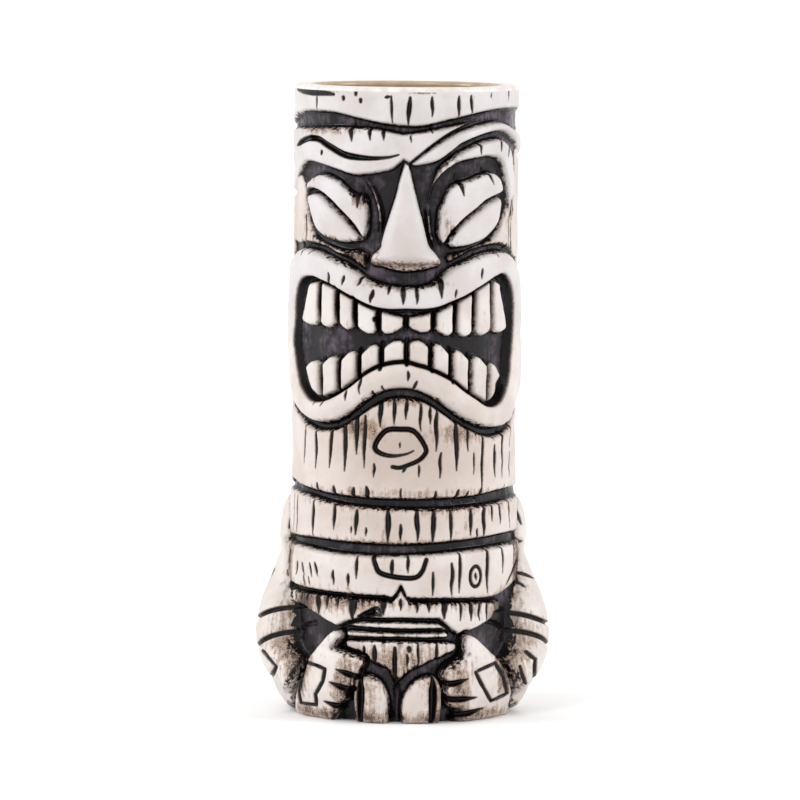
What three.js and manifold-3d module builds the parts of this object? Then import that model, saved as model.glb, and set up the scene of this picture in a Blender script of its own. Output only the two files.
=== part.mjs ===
// Tall tiki mug. Millimetres, +Z up, the carved face looks along -Y, and the base stands on z = 0.
// A turned cup wall carries raised carved members, each its own solid, parted along the mug's own grooves.
// A member's outline is drawn square from the front as [x, z] points. "Left" is the viewer's left.

import * as THREE from 'three';
import { mergeVertices } from 'three/addons/utils/BufferGeometryUtils.js';
import Module from 'manifold-3d';

const wasm = await Module();
wasm.setup();

// ---- Driving dimensions ----

const HEIGHT = 180;
const RELIEF = 2.0; // how far the carved surface stands out from the cup wall
const GAP = 0.3; // air between touching pieces
const CAVITY_RADIUS = 26.6;
const FLOOR_THICKNESS = 6;
const LINER_THICKNESS = 0.4;
const RIM_DEPTH = 1.8; // height of the bare white ring round the mouth
const SIDE_SPLIT_Y = 6; // where the front members end and the back panel starts
const MOUTH_RADIUS = 32; // outside of the rim
const SEGMENTS = 60;
const FAR = 60; // longer than any half-width of the mug

// The carved trunk's [height, radius], waisted at the neck and fuller at the mouth and the collar.
const TRUNK = [
  [0, 31.5], [6, 32], [40, 32.5], [62, 32.5], [80, 32], [110, 33], [136, 32], [HEIGHT, MOUTH_RADIUS],
];

// ---- Materials ----

const finish = (name, color, roughness) =>
  Object.assign(new THREE.MeshStandardMaterial({ color, roughness, metalness: 0 }), { name });

const whiteGlaze = () => finish('white_glaze', 0xebe7e4, 0.38);
const warmGlaze = () => finish('warm_glaze', 0xe2d6ca, 0.4);
const darkStain = () => finish('dark_stain', 0x2c262c, 0.35);
const tanLiner = () => finish('tan_liner', 0xb7a283, 0.15);

// ---- Solid helpers ----

function toSolid(geometry) {
  const bare = geometry.clone();
  bare.deleteAttribute('normal');
  bare.deleteAttribute('uv');
  const welded = mergeVertices(bare, 1e-4);
  const mesh = new wasm.Mesh({
    numProp: 3,
    vertProperties: new Float32Array(welded.attributes.position.array),
    triVerts: new Uint32Array(welded.index.array),
  });
  return new wasm.Manifold(mesh);
}

function toGeometry(solid) {
  const mesh = solid.getMesh();
  const geometry = new THREE.BufferGeometry();
  geometry.setAttribute('position', new THREE.BufferAttribute(new Float32Array(mesh.vertProperties), 3));
  geometry.setIndex(new THREE.BufferAttribute(new Uint32Array(mesh.triVerts), 1));
  geometry.computeVertexNormals();
  return geometry;
}

function trunkRadius(z) {
  const above = TRUNK.findIndex(([height]) => height >= z);
  if (above <= 0) return TRUNK[above === 0 ? 0 : TRUNK.length - 1][1];
  const [z0, r0] = TRUNK[above - 1];
  const [z1, r1] = TRUNK[above];
  return r0 + ((r1 - r0) * (z - z0)) / (z1 - z0);
}

function counterClockwise(outline) {
  const area = THREE.ShapeUtils.area(outline.map(([x, z]) => new THREE.Vector2(x, z)));
  return area < 0 ? [...outline].reverse() : outline;
}

// Turns a closed [radius, z] outline about the mug's axis.
function turned(outline) {
  const loop = counterClockwise(outline);
  const points = [...loop, loop[0]].map(([r, z]) => new THREE.Vector2(r, z));
  const geometry = new THREE.LatheGeometry(points, SEGMENTS);
  geometry.rotateX(Math.PI / 2);
  return toSolid(geometry);
}

// A turned skin from z0 to z1 over the cup wall. lift(z) is its height above the trunk's own surface.
function skin(z0, z1, lift = () => 0) {
  const inside = TRUNK.map(([z]) => z).filter((z) => z > z0 + 0.5 && z < z1 - 0.5);
  const levels = [z0, ...inside, z1];
  const inner = levels.map((z) => [trunkRadius(z) - RELIEF + GAP, z]);
  const outer = levels.map((z) => [trunkRadius(z) + lift(z), z]);
  return turned([...inner, ...outer.reverse()]);
}

// A straight prism over a front-view outline, from y = yFront to y = yBack.
function prism(outline, yFront, yBack) {
  const shape = new THREE.Shape(counterClockwise(outline).map(([x, z]) => new THREE.Vector2(x, z)));
  const geometry = new THREE.ExtrudeGeometry(shape, { depth: yBack - yFront, bevelEnabled: false });
  geometry.rotateX(Math.PI / 2);
  geometry.translate(0, yBack, 0);
  return toSolid(geometry);
}

const frontPrism = (outline) => prism(outline, -FAR, SIDE_SPLIT_Y);
const throughPrism = (outline) => prism(outline, -FAR, FAR);

// Passes a smooth open line through a few points, for a carved edge.
function smooth(points, perSpan = 2) {
  const curve = new THREE.SplineCurve(points.map(([x, z]) => new THREE.Vector2(x, z)));
  return curve.getPoints((points.length - 1) * perSpan).map((p) => [p.x, p.y]);
}

const zSpan = (outline) => {
  const heights = outline.map(([, z]) => z);
  return [Math.min(...heights), Math.max(...heights)];
};

// A raised member: the part of the turned skin that lies behind a front-view outline.
function relief(outline, lift) {
  const [low, high] = zSpan(outline);
  return skin(low - 1, high + 1, lift).intersect(frontPrism(outline));
}

// A closed outline between an upper and a lower line, both drawn from left to right.
const between = (upper, lower) => [...lower, ...[...upper].reverse()];

// A tapered capsule from point a to point b.
function capsule(a, b, radiusA, radiusB) {
  const start = new THREE.Vector3(...a);
  const along = new THREE.Vector3(...b).sub(start);
  const length = along.length();
  const steps = 4;
  const cap = (radius, y0, from, to) =>
    Array.from({ length: steps + 1 }, (_, i) => {
      const angle = from + ((to - from) * i) / steps;
      return new THREE.Vector2(Math.max(0, radius * Math.cos(angle)), y0 + radius * Math.sin(angle));
    });
  const profile = [...cap(radiusA, 0, -Math.PI / 2, 0), ...cap(radiusB, length, 0, Math.PI / 2)];
  profile[0].x = 0;
  profile[profile.length - 1].x = 0;
  const geometry = new THREE.LatheGeometry(profile, 16);
  const turn = new THREE.Quaternion().setFromUnitVectors(new THREE.Vector3(0, 1, 0), along.normalize());
  geometry.applyQuaternion(turn);
  geometry.translate(...a);
  return toSolid(geometry);
}

const group = new THREE.Group();
group.name = 'tiki_mug';

function add(name, solid, material) {
  const mesh = new THREE.Mesh(toGeometry(solid), material);
  mesh.name = name;
  group.add(mesh);
}

// ---- Cup ----

const rimBase = HEIGHT - RIM_DEPTH;

function cupWall() {
  const outer = TRUNK.slice(1, -1).map(([z, r]) => [r - RELIEF, z]);
  return turned([
    [CAVITY_RADIUS, rimBase - GAP],
    [CAVITY_RADIUS, FLOOR_THICKNESS + 4],
    [CAVITY_RADIUS - 1.2, FLOOR_THICKNESS + 1.2],
    [CAVITY_RADIUS - 4, FLOOR_THICKNESS],
    [0, FLOOR_THICKNESS],
    [0, 0],
    [TRUNK[0][1] - RELIEF - 1, 0],
    [TRUNK[0][1] - RELIEF, 1],
    ...outer,
    [MOUTH_RADIUS - RELIEF, rimBase - GAP],
  ]);
}

function interiorGlaze() {
  const r = CAVITY_RADIUS - GAP;
  const floor = FLOOR_THICKNESS + GAP;
  const t = LINER_THICKNESS;
  return turned([
    [r, rimBase],
    [r, floor + 4],
    [r - 1.2, floor + 1.2],
    [r - 4, floor],
    [0, floor],
    [0, floor + t],
    [r - 4, floor + t],
    [r - 1.2 - t, floor + 1.2 + t],
    [r - t, floor + 4 + t],
    [r - t, rimBase],
  ]);
}

function rim() {
  return turned([
    [CAVITY_RADIUS, rimBase],
    [MOUTH_RADIUS - 0.3, rimBase],
    [MOUTH_RADIUS, HEIGHT - 1.1],
    [MOUTH_RADIUS - 0.4, HEIGHT - 0.3],
    [MOUTH_RADIUS - 1.2, HEIGHT],
    [CAVITY_RADIUS + 0.8, HEIGHT],
    [CAVITY_RADIUS, HEIGHT - 0.8],
  ]);
}

// ---- Bands that run right round ----

const FOREHEAD_UPPER = [[-36, rimBase - GAP], [36, rimBase - GAP]];
const FOREHEAD_LOWER = [
  [-33.6, 169], [-28.7, 172.3], [-21.7, 172.6], [-13.8, 171.1], [-4.9, 169.6], [4, 169.2], [12.9, 170.9],
  [22.7, 173.2], [33.6, 173.7],
];
const NECK_UPPER = [[-33.6, 64], [-22.7, 62.4], [-11.9, 61.4], [8.9, 61], [19.8, 61.4], [33.6, 62.4]];
const NECK_LOWER = [[-35.6, 50.7], [-18.8, 51.3], [0, 51], [15.8, 51.6], [35.6, 52.3]];
const COLLAR_UPPER = [[-35.6, 49.4], [-18.8, 48], [0, 47.8], [16.8, 48.7], [35.6, 49.8]];
const COLLAR_LOWER = [
  [-35.6, 36.9], [-24.7, 36.6], [-11.9, 36.4], [-3.4, 35.7], [-0.8, 39.1], [2.3, 35.7], [11.9, 35.5],
  [25.7, 35.1], [35.6, 36.5],
];

function ringBand(upper, lower, lift) {
  const outline = between(upper, lower);
  const [low, high] = zSpan(outline);
  return skin(low - 1, high + 1, lift).intersect(throughPrism(outline));
}

// ---- Face outlines ----

const BROW_LEFT = between(
  smooth([
    [-33.6, 167], [-28.3, 167.9], [-17.8, 168.4], [-9.9, 168.2], [-0.5, 166.8], [6.9, 167.8],
    [13.4, 168.6],
  ]),
  smooth([
    [-33.6, 153.2], [-30.1, 156.7], [-25.7, 158], [-20.3, 156.6], [-13.8, 155.1], [-6.9, 156.1], [0, 159.1],
  ]),
);
const BROW_LEFT_GROOVE = between(
  smooth([[-29.2, 165], [-25.7, 165], [-17.8, 161.9], [-10.4, 161.1], [-3, 161.3]]),
  smooth([[-28.7, 164.2], [-25.3, 162.9], [-17.8, 159.5], [-10.4, 159], [-3, 160.8]]),
);
const BROW_RIGHT = between(
  smooth([[2.2, 159], [8.9, 164.2], [16.8, 168.6], [27.7, 169.3], [33.6, 166.6]]),
  smooth([[2.6, 158.3], [9.9, 160.4], [17.8, 164], [25.7, 166.9], [30.2, 164.4], [33.6, 161.1]]),
);
const BROW_RIGHT_LOWER = [
  ...smooth([[6.2, 145.6], [9.5, 153.4], [15.9, 158.8], [23.3, 160.1], [28, 156.1], [29.5, 146.2]]),
  ...smooth([
    [31.4, 146.2], [31.2, 156.1], [29.3, 162.6], [25.7, 164.7], [17.8, 161.7], [10.9, 158.1],
    [7.9, 153.2],
  ]),
];
const EYELID_LEFT = [
  ...smooth([[-29, 150.5], [-25.1, 150.7], [-19.5, 146.4], [-14.9, 141.6], [-12.2, 138.2]]),
  ...smooth([[-11.2, 139.3], [-11.1, 145.2], [-13, 150.8], [-17.8, 153.4], [-23.7, 154.5], [-28.3, 152.2]]),
];
const EYEBALL_LEFT = [
  ...smooth([[-28.5, 149.1], [-24.9, 149.2], [-19.3, 144.9], [-14.8, 140.2], [-12.9, 137.8]]),
  ...smooth([[-15.2, 136.6], [-19.8, 136.6], [-24.2, 138.3], [-27.1, 142.3], [-28.3, 146.6]]),
];
const EYELID_RIGHT = [
  ...smooth([[11.5, 137.6], [10.1, 144.9], [12.7, 152.2], [17.9, 156.3], [24.3, 156.6], [27.7, 152.8]]),
  ...smooth([[27.8, 150.5], [23.2, 148.6], [15.8, 143.1], [11.9, 138.3]]),
];
const EYEBALL_RIGHT = [
  ...smooth([[12.5, 136.8], [15.8, 141.4], [23.2, 147], [27.1, 148.8]]),
  ...smooth([[26.7, 144.7], [25.1, 140.3], [20.4, 137], [14.8, 136.1]]),
];
const NOSE = [
  [-0.6, 158.5], [-3.1, 149.5], [-5.5, 141.1], [-6.9, 135.9], [-9.7, 132.8], [-10, 130.8], [-7.9, 129.2],
  [7.7, 129.2], [9.7, 130.8], [8.7, 132.8], [6.1, 136], [4.9, 142], [2.8, 150.4], [0.9, 157.7],
];
const CHEEK_LEFT = [
  ...smooth([[-32.6, 132.4], [-29.5, 135.3], [-24.2, 134.6], [-16.8, 131.8], [-11.5, 128.4]]),
  ...smooth([[-11.3, 134], [-17.8, 134], [-24.3, 135.6], [-28.3, 139.7], [-29.7, 146.2], [-32.6, 148.2]]),
];
const CHEEK_RIGHT = [
  ...smooth([[32.6, 144.8], [30.2, 144.3], [28.1, 139.9], [23.7, 135.8], [18.8, 134], [11.9, 133.4]]),
  ...smooth([[11.3, 130], [16.8, 132.8], [23.7, 134.9], [28.7, 135], [32.6, 131.4]]),
];

// ---- Mouth outlines ----

const LIP_TOP = smooth([
  [-34.6, 125.5], [-31.6, 131], [-28.2, 132.8], [-19.8, 130.4], [-11.4, 126.1], [-2.6, 124.1],
  [5.9, 124.2], [13.2, 128.7], [21.7, 132.3], [28.3, 132.8], [31.6, 129.4], [34.6, 124.5],
]);
const LIP_BOTTOM = smooth([
  [-34.6, 93.8], [-31.2, 89.1], [-25.7, 85.1], [-19.8, 85.5], [-9.1, 92.9], [0.2, 95.4], [8.1, 92.5],
  [15.8, 86.9], [22.7, 83.4], [29.1, 85.5], [34.6, 93.8],
]);
const LIP_CORNER_Z = 108.7; // where the upper and the lower lip meet at each side
const MOUTH_TOP = smooth([
  [-31.9, LIP_CORNER_Z], [-31, 118.6], [-28.3, 124.7], [-23.7, 124.5], [-13.8, 119.3], [-6.5, 117.2],
  [6.7, 117.3], [13.8, 119.4], [19.8, 122.3], [25.5, 125.7], [29.7, 122.5], [31.4, LIP_CORNER_Z],
]);
const MOUTH_BOTTOM = smooth([
  [-31.9, LIP_CORNER_Z - GAP], [-29.1, 95.8], [-24.2, 90.9], [-19.1, 93.1], [-11.9, 98.8], [-4, 102.3],
  [4.9, 101.8], [13.1, 97.8], [22, 90.7], [27.8, 92.1], [31.4, LIP_CORNER_Z - GAP],
]);

const UPPER_LIP = [[-35, LIP_CORNER_Z], ...MOUTH_TOP, [35, LIP_CORNER_Z], ...[...LIP_TOP].reverse()];
const LOWER_LIP = [
  [-35, LIP_CORNER_Z - GAP], ...LIP_BOTTOM, [35, LIP_CORNER_Z - GAP], ...[...MOUTH_BOTTOM].reverse(),
];

// Each row's teeth share their sides. A side has an x, the z of its biting edge and the z of its gum end.
const TOOTH_HALF_GAP = 0.45;
const UPPER_TEETH = {
  sides: [-29.9, -25.2, -20.1, -14.6, -7.7, 0.3, 8.3, 14.9, 20.7, 25.8, 29.9],
  bite: [111.6, 111.8, 112, 111.4, 110.8, 111.8, 111.2, 110, 110, 110.4, 110.6],
  gum: [119.5, 123.5, 121.3, 118.4, 116, 115, 116, 118.4, 121.3, 124.5, 119.5],
};
const LOWER_TEETH = {
  sides: [-28.7, -24.5, -19.4, -13.4, -6.8, 0.5, 7.7, 13.7, 19.5, 24.4, 28.3],
  bite: [100.4, 102.3, 103.9, 105.6, 107.9, 108.9, 108.1, 106.3, 104.3, 102.1, 99.4],
  gum: [97.8, 93.4, 94.2, 97.6, 100.6, 101.8, 100.4, 97.6, 94, 92.3, 95.8],
};

function toothOutline(row, index) {
  const x0 = row.sides[index] + TOOTH_HALF_GAP;
  const x1 = row.sides[index + 1] - TOOTH_HALF_GAP;
  return [[x0, row.gum[index]], [x1, row.gum[index + 1]], [x1, row.bite[index + 1]], [x0, row.bite[index]]];
}

function addTeeth(rowName, row) {
  const mouthSpace = frontPrism(grown(between(MOUTH_TOP, MOUTH_BOTTOM), -0.6));
  for (let index = 0; index < row.sides.length - 1; index += 1) {
    const tooth = relief(toothOutline(row, index), () => -0.3).intersect(mouthSpace);
    add(`${rowName}_tooth_${index + 1}`, tooth, warmGlaze());
  }
}

// ---- Chin, belly and back ----

const CHIN = between(
  smooth([
    [-34.6, 89.9], [-31, 87.3], [-25.7, 83.4], [-19.8, 83.8], [-9.1, 91.1], [0.2, 93.6], [8.1, 90.7],
    [15.8, 85.1], [22.7, 81.6], [29.1, 83.8], [34.6, 90.9],
  ]),
  smooth([
    [-34.6, 66.2], [-26.3, 65.1], [-17.3, 64.3], [-4.6, 64.1], [11.4, 64.1], [26.7, 65], [34.6, 65.2],
  ]),
);
const BELLY_UPPER = [
  [-14.3, 30.5], [13.2, 30.5], [17.4, 26.8], [19.2, 26], [26.1, 28.2], [26.7, 33.9],
  [2.4, 34.5], [-0.8, 37.9], [-3.4, 34.5], [-27.2, 35.1], [-23.7, 28.6], [-18.3, 27.4],
];
const BELT_UPPER = [[-15.4, 27.3], [12.5, 27.1], [14.2, 26.4], [13, 28.6], [-14, 28.8]];
const BELT_LOWER = [[-16.4, 24.5], [12.9, 24.4], [14, 25.5], [-16, 25.8]];
const BELLY_LOWER = [
  [-16.6, 22.9], [-16.8, 21.5], [-12.1, 20.3], [-7.9, 17.3], [-4, 15.8], [-1.6, 12.6],
  [2.3, 15.4], [8.2, 17.7], [13.8, 20.1], [14.6, 22.5],
];

function backPanel(z0, z1, yStart) {
  const wide = [[-FAR, z0], [FAR, z0], [FAR, z1], [-FAR, z1]];
  return skin(z0 - 1, z1 + 1).intersect(prism(wide, yStart, FAR));
}

// ---- Arms, hands and feet ----

const COLLAR_FOOT_Z = 34.9;
const COLLAR_LIFT = 0.6;
const HAND_LIFT = 4.2;
const HAND_BACK_Y = -9; // the back of the hand ends here, and the wrist goes on behind it
const FOOT_LIFT = 2.4;

const HAND_LEFT = [
  [-19, 25.6], [-20.4, 21.7], [-15.9, 19.7], [-12.8, 19], [-11.7, 17.1], [-13, 14.2], [-14.8, 10.7], [-16.6, 6.9],
  [-18.2, 2.5], [-22.6, 0.8], [-28.7, 0.8], [-30.6, 2.9], [-30.5, 7.8], [-29.3, 12.2], [-26.3, 19.1], [-22.3, 24.1],
];
const FINGER_GAPS_LEFT = [[-12.3, 14.8, -19.2, 16.7], [-13.4, 10.4, -21.2, 12.8], [-15, 5.9, -22.3, 6.7]];
const HAND_RIGHT = [
  [18.7, 24.8], [21.1, 24.3], [24.1, 21.3], [28, 17.1], [30.2, 12.8], [31.2, 5.9], [29.7, 2.3], [22, 0.8],
  [16.4, 0.8], [14.2, 4.5], [12.9, 8.4], [12.5, 11.9], [11.9, 14], [13.8, 16.4], [18.2, 18.3], [18.2, 20.7],
];
const FINGER_GAPS_RIGHT = [[11.9, 12.4, 19.6, 13.8], [12.9, 8, 20.4, 9.4], [14.8, 3.5, 22.3, 5.3]];
const FOOT_LEFT = [
  ...smooth([
    [-13.4, 1], [-14.2, 5.9], [-13.2, 10.8], [-10.9, 13.4], [-7.9, 13.2], [-4.9, 10.4], [-3.8, 6.5],
    [-4, 1],
  ]),
];
const FOOT_RIGHT = [
  ...smooth([[-0.3, 1], [0, 6.2], [1.6, 9.4], [4.2, 11.8], [7.3, 13], [9.9, 11.4], [11.1, 6.9], [10.9, 1]]),
];

// A thin slit between two [x, z] ends, with its own half width.
function slit([x0, z0, x1, z1], halfWidth) {
  const across = new THREE.Vector2(z0 - z1, x1 - x0).normalize().multiplyScalar(halfWidth);
  return [
    [x0 + across.x, z0 + across.y], [x0 - across.x, z0 - across.y],
    [x1 - across.x, z1 - across.y], [x1 + across.x, z1 + across.y],
  ];
}

// The outline moved away from its own middle, to leave air round it.
function grown(outline, by) {
  const cx = outline.reduce((sum, [x]) => sum + x, 0) / outline.length;
  const cz = outline.reduce((sum, [, z]) => sum + z, 0) / outline.length;
  return outline.map(([x, z]) => {
    const away = Math.hypot(x - cx, z - cz);
    return [cx + ((x - cx) * (away + by)) / away, cz + ((z - cz) * (away + by)) / away];
  });
}

function hand(outline, gaps) {
  const [low, high] = zSpan(outline);
  const body = skin(low - 1, high + 1, () => HAND_LIFT).intersect(prism(outline, -FAR, HAND_BACK_Y));
  return gaps.reduce((solid, gap) => solid.subtract(relief(slit(gap, 0.5), () => HAND_LIFT + 1)), body);
}

// Everything that the arms have to stay out of: the bare wall below the collar, and the bands above it.
function armClearance() {
  const wallSteps = TRUNK.filter(([z]) => z > 0 && z < COLLAR_FOOT_Z)
    .map(([z, r]) => [r - RELIEF + GAP, z]);
  const bandRadius = trunkRadius(COLLAR_FOOT_Z) + COLLAR_LIFT + GAP;
  return turned([
    [0, -1], [TRUNK[0][1] - RELIEF + GAP, -1], ...wallSteps,
    [trunkRadius(COLLAR_FOOT_Z) - RELIEF + GAP, COLLAR_FOOT_Z],
    [bandRadius, COLLAR_FOOT_Z], [bandRadius, HEIGHT / 2], [0, HEIGHT / 2],
  ]);
}

// One arm hangs from the shoulder, bends at the elbow and comes forward; side is -1 on the left.
function arm(side, handOutline) {
  const at = (x, y, z) => [side * x, y, z];
  const shoulder = capsule(at(29.6, 1, 60.5), at(29.8, 1, 50), 4.8, 5.8);
  const upper = capsule(at(30, 1, 50), at(33.4, 0, 24.6), 5.6, 8.2);
  const fore = capsule(at(33.2, 0, 22.6), at(26.5, -14, 13), 8, 7);
  const hip = capsule(at(30.6, 2, 14), at(26.6, -5, 6.8), 7, 6);
  const cleared = shoulder.add(upper).add(fore).add(hip)
    .subtract(armClearance())
    .subtract(prism(grown(handOutline, 0.7), -FAR, HAND_BACK_Y + GAP));
  const ground = prism([[-FAR, -FAR], [FAR, -FAR], [FAR, 0.8], [-FAR, 0.8]], -FAR, FAR);
  return cleared.subtract(ground);
}

// ---- Assembly ----

add('cup_wall', cupWall(), darkStain());
add('interior_glaze', interiorGlaze(), tanLiner());
add('rim', rim(), whiteGlaze());
add('forehead_band', ringBand(FOREHEAD_UPPER, smooth(FOREHEAD_LOWER), () => 0), whiteGlaze());

add('brow_left', relief(BROW_LEFT).subtract(frontPrism(BROW_LEFT_GROOVE)), whiteGlaze());
add('brow_right', relief(BROW_RIGHT), whiteGlaze());
add('brow_right_lower', relief(BROW_RIGHT_LOWER), whiteGlaze());
add('eyelid_left', relief(EYELID_LEFT, () => -0.2), whiteGlaze());
add('eyeball_left', relief(EYEBALL_LEFT, () => 0), whiteGlaze());
add('eyelid_right', relief(EYELID_RIGHT, () => -0.2), whiteGlaze());
add('eyeball_right', relief(EYEBALL_RIGHT, () => 0), whiteGlaze());
add('nose', relief(NOSE, (z) => THREE.MathUtils.clamp(((159 - z) / 28.7) * 5.5, 0, 5.5)), whiteGlaze());
add('cheek_left', relief(CHEEK_LEFT, () => -0.6), warmGlaze());
add('cheek_right', relief(CHEEK_RIGHT, () => -0.6), warmGlaze());

add('upper_lip', relief(UPPER_LIP, () => 0.7), whiteGlaze());
add('lower_lip', relief(LOWER_LIP, () => 0.7), whiteGlaze());
addTeeth('upper', UPPER_TEETH);
addTeeth('lower', LOWER_TEETH);
add('chin', relief(CHIN), warmGlaze());

add('back_of_head', backPanel(65.4, 167.4, SIDE_SPLIT_Y + GAP), warmGlaze());
add('neck_band', ringBand(smooth(NECK_UPPER), smooth(NECK_LOWER), () => 0), warmGlaze());
add('collar_band', ringBand(smooth(COLLAR_UPPER), COLLAR_LOWER, () => COLLAR_LIFT), warmGlaze());
add('belly', relief(BELLY_UPPER), warmGlaze());
add('belt_upper', relief(BELT_UPPER), whiteGlaze());
add('belt_lower', relief(BELT_LOWER), whiteGlaze());
add('loincloth', relief(BELLY_LOWER), warmGlaze());
add('back_lower', backPanel(1, 34.2, 10), warmGlaze());

add('arm_left', arm(-1, HAND_LEFT), whiteGlaze());
add('arm_right', arm(1, HAND_RIGHT), whiteGlaze());
add('hand_left', hand(HAND_LEFT, FINGER_GAPS_LEFT), whiteGlaze());
add('hand_right', hand(HAND_RIGHT, FINGER_GAPS_RIGHT), whiteGlaze());
add('foot_left', relief(FOOT_LEFT, () => FOOT_LIFT), whiteGlaze());
add('foot_right', relief(FOOT_RIGHT, () => FOOT_LIFT), whiteGlaze());

export default group;
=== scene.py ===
"""Looks of the tall tiki mug: one carved ceramic surface, parted into named members along its own grooves.

The outside of the mug is a radial height field r(angle, z). Angles are degrees round the mug from the
middle of the face, positive to the viewer's right. Heights and depths are millimetres until a mesh is made.
"""
import math

import bpy
import numpy as np
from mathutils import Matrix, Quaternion


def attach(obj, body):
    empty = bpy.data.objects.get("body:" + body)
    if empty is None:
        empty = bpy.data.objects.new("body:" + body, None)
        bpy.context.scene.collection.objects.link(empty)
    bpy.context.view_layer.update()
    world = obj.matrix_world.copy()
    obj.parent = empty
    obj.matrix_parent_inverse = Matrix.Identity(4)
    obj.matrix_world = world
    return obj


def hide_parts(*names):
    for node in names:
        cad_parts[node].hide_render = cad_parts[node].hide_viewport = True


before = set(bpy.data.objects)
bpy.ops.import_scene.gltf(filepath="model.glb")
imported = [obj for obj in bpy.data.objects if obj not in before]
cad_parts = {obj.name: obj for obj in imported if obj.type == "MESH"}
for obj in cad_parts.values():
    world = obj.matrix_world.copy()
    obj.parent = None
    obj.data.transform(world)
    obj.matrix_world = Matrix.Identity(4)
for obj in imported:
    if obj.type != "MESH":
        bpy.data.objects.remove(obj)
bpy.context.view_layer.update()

# ---- Sizes, in mm ----

MM = 0.001
HEIGHT = 180.0
REFERENCE_RADIUS = 32.0  # turns an angle into a length round the mug
FLOOR_DEPTH = 2.7  # depth of the main grooves below the members, in front
SIDE_FLOOR_DEPTH = 1.0  # and at the sides and back
PANEL_INNER_RADIUS = 28.0  # the back of every member
CAVITY_RADIUS = 26.2
RIM_BASE = 178.7  # the members stop here and the plain rim starts

FINE_CELL = 0.32  # size of the grid's cells in front, and of every row
FRONT_LIMIT = 112.0  # degrees: the finely meshed front ends here
BACK_CELL = 0.9  # width of the cells behind
FAR_OUTSIDE = -9.0  # signed distance given to points well outside an outline

TRUNK = [  # height and radius of the plain trunk that everything is carved from
    (0, 31.0), (1.0, 31.7), (3, 32.1), (20, 32.3), (40, 32.6), (60, 32.6), (66, 32.1), (76, 31.9),
    (90, 32.0), (112, 32.3), (134, 32.0), (150, 31.9), (180, 32.0),
]
TRUNK_BLEND = 2.0  # blur that rounds the trunk's corners

rng = np.random.default_rng(7)


# ---- Curves and distances ----

def smooth_line(points, per_span=8):
    """A Catmull-Rom line through the points."""
    p = np.array(points, float)
    if len(p) < 3:
        return p
    ends = np.vstack([2 * p[0] - p[1], p, 2 * p[-1] - p[-2]])
    t = np.linspace(0, 1, per_span, endpoint=False)[:, None]
    spans = []
    for a, b, c, d in zip(ends[:-3], ends[1:-2], ends[2:-1], ends[3:]):
        square = 2 * a - 5 * b + 4 * c - d
        cube = 3 * b - a - 3 * c + d
        spans.append(0.5 * (2 * b + (c - a) * t + square * t**2 + cube * t**3))
    return np.vstack([*spans, p[-1:]])


def joined(*strokes):
    """Smooth lines joined end to end, with a corner where they meet."""
    return np.vstack([smooth_line(stroke) for stroke in strokes])


def arc_length(angle):
    """Length round the unrolled mug, in mm, of an angle in degrees."""
    return np.radians(angle) * REFERENCE_RADIUS


def on_surface(points):
    """(angle, z) points as lengths on the unrolled surface."""
    p = np.array(points, float)
    return np.column_stack([arc_length(p[:, 0]), p[:, 1]])


def segment_distance(x, z, line):
    """Distance to a line, how far along it the nearest point is (0 to 1), for arrays x and z."""
    best = np.full(x.shape, np.inf)
    along = np.zeros(x.shape)
    steps = np.hypot(*np.diff(line, axis=0).T)
    total = max(steps.sum(), 1e-9)
    run = 0.0
    for (x0, z0), (x1, z1), step in zip(line[:-1], line[1:], steps):
        dx, dz = x1 - x0, z1 - z0
        t = np.clip(((x - x0) * dx + (z - z0) * dz) / max(step * step, 1e-12), 0, 1)
        d = np.hypot(x - x0 - t * dx, z - z0 - t * dz)
        closer = d < best
        best = np.where(closer, d, best)
        along = np.where(closer, (run + t * step) / total, along)
        run += step
    return best, along


def inside(x, z, loop):
    """True where a point is inside a closed loop."""
    odd = np.zeros(x.shape, bool)
    for (x0, z0), (x1, z1) in zip(loop, np.roll(loop, -1, axis=0)):
        crosses = (z0 > z) != (z1 > z)
        if z1 != z0:
            odd ^= crosses & (x < (x1 - x0) * (z - z0) / (z1 - z0) + x0)
    return odd


def smoothstep(low, high, value):
    t = np.clip((value - low) / (high - low), 0, 1)
    return t * t * (3 - 2 * t)


def pillow(distance, width):
    """0 at an edge, rising in a quarter round to 1 at width inside it."""
    t = 1 - np.clip(distance / width, 0, 1)
    return np.sqrt(np.clip(1 - t * t, 0, 1))


# ---- The unrolled grid ----

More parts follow.
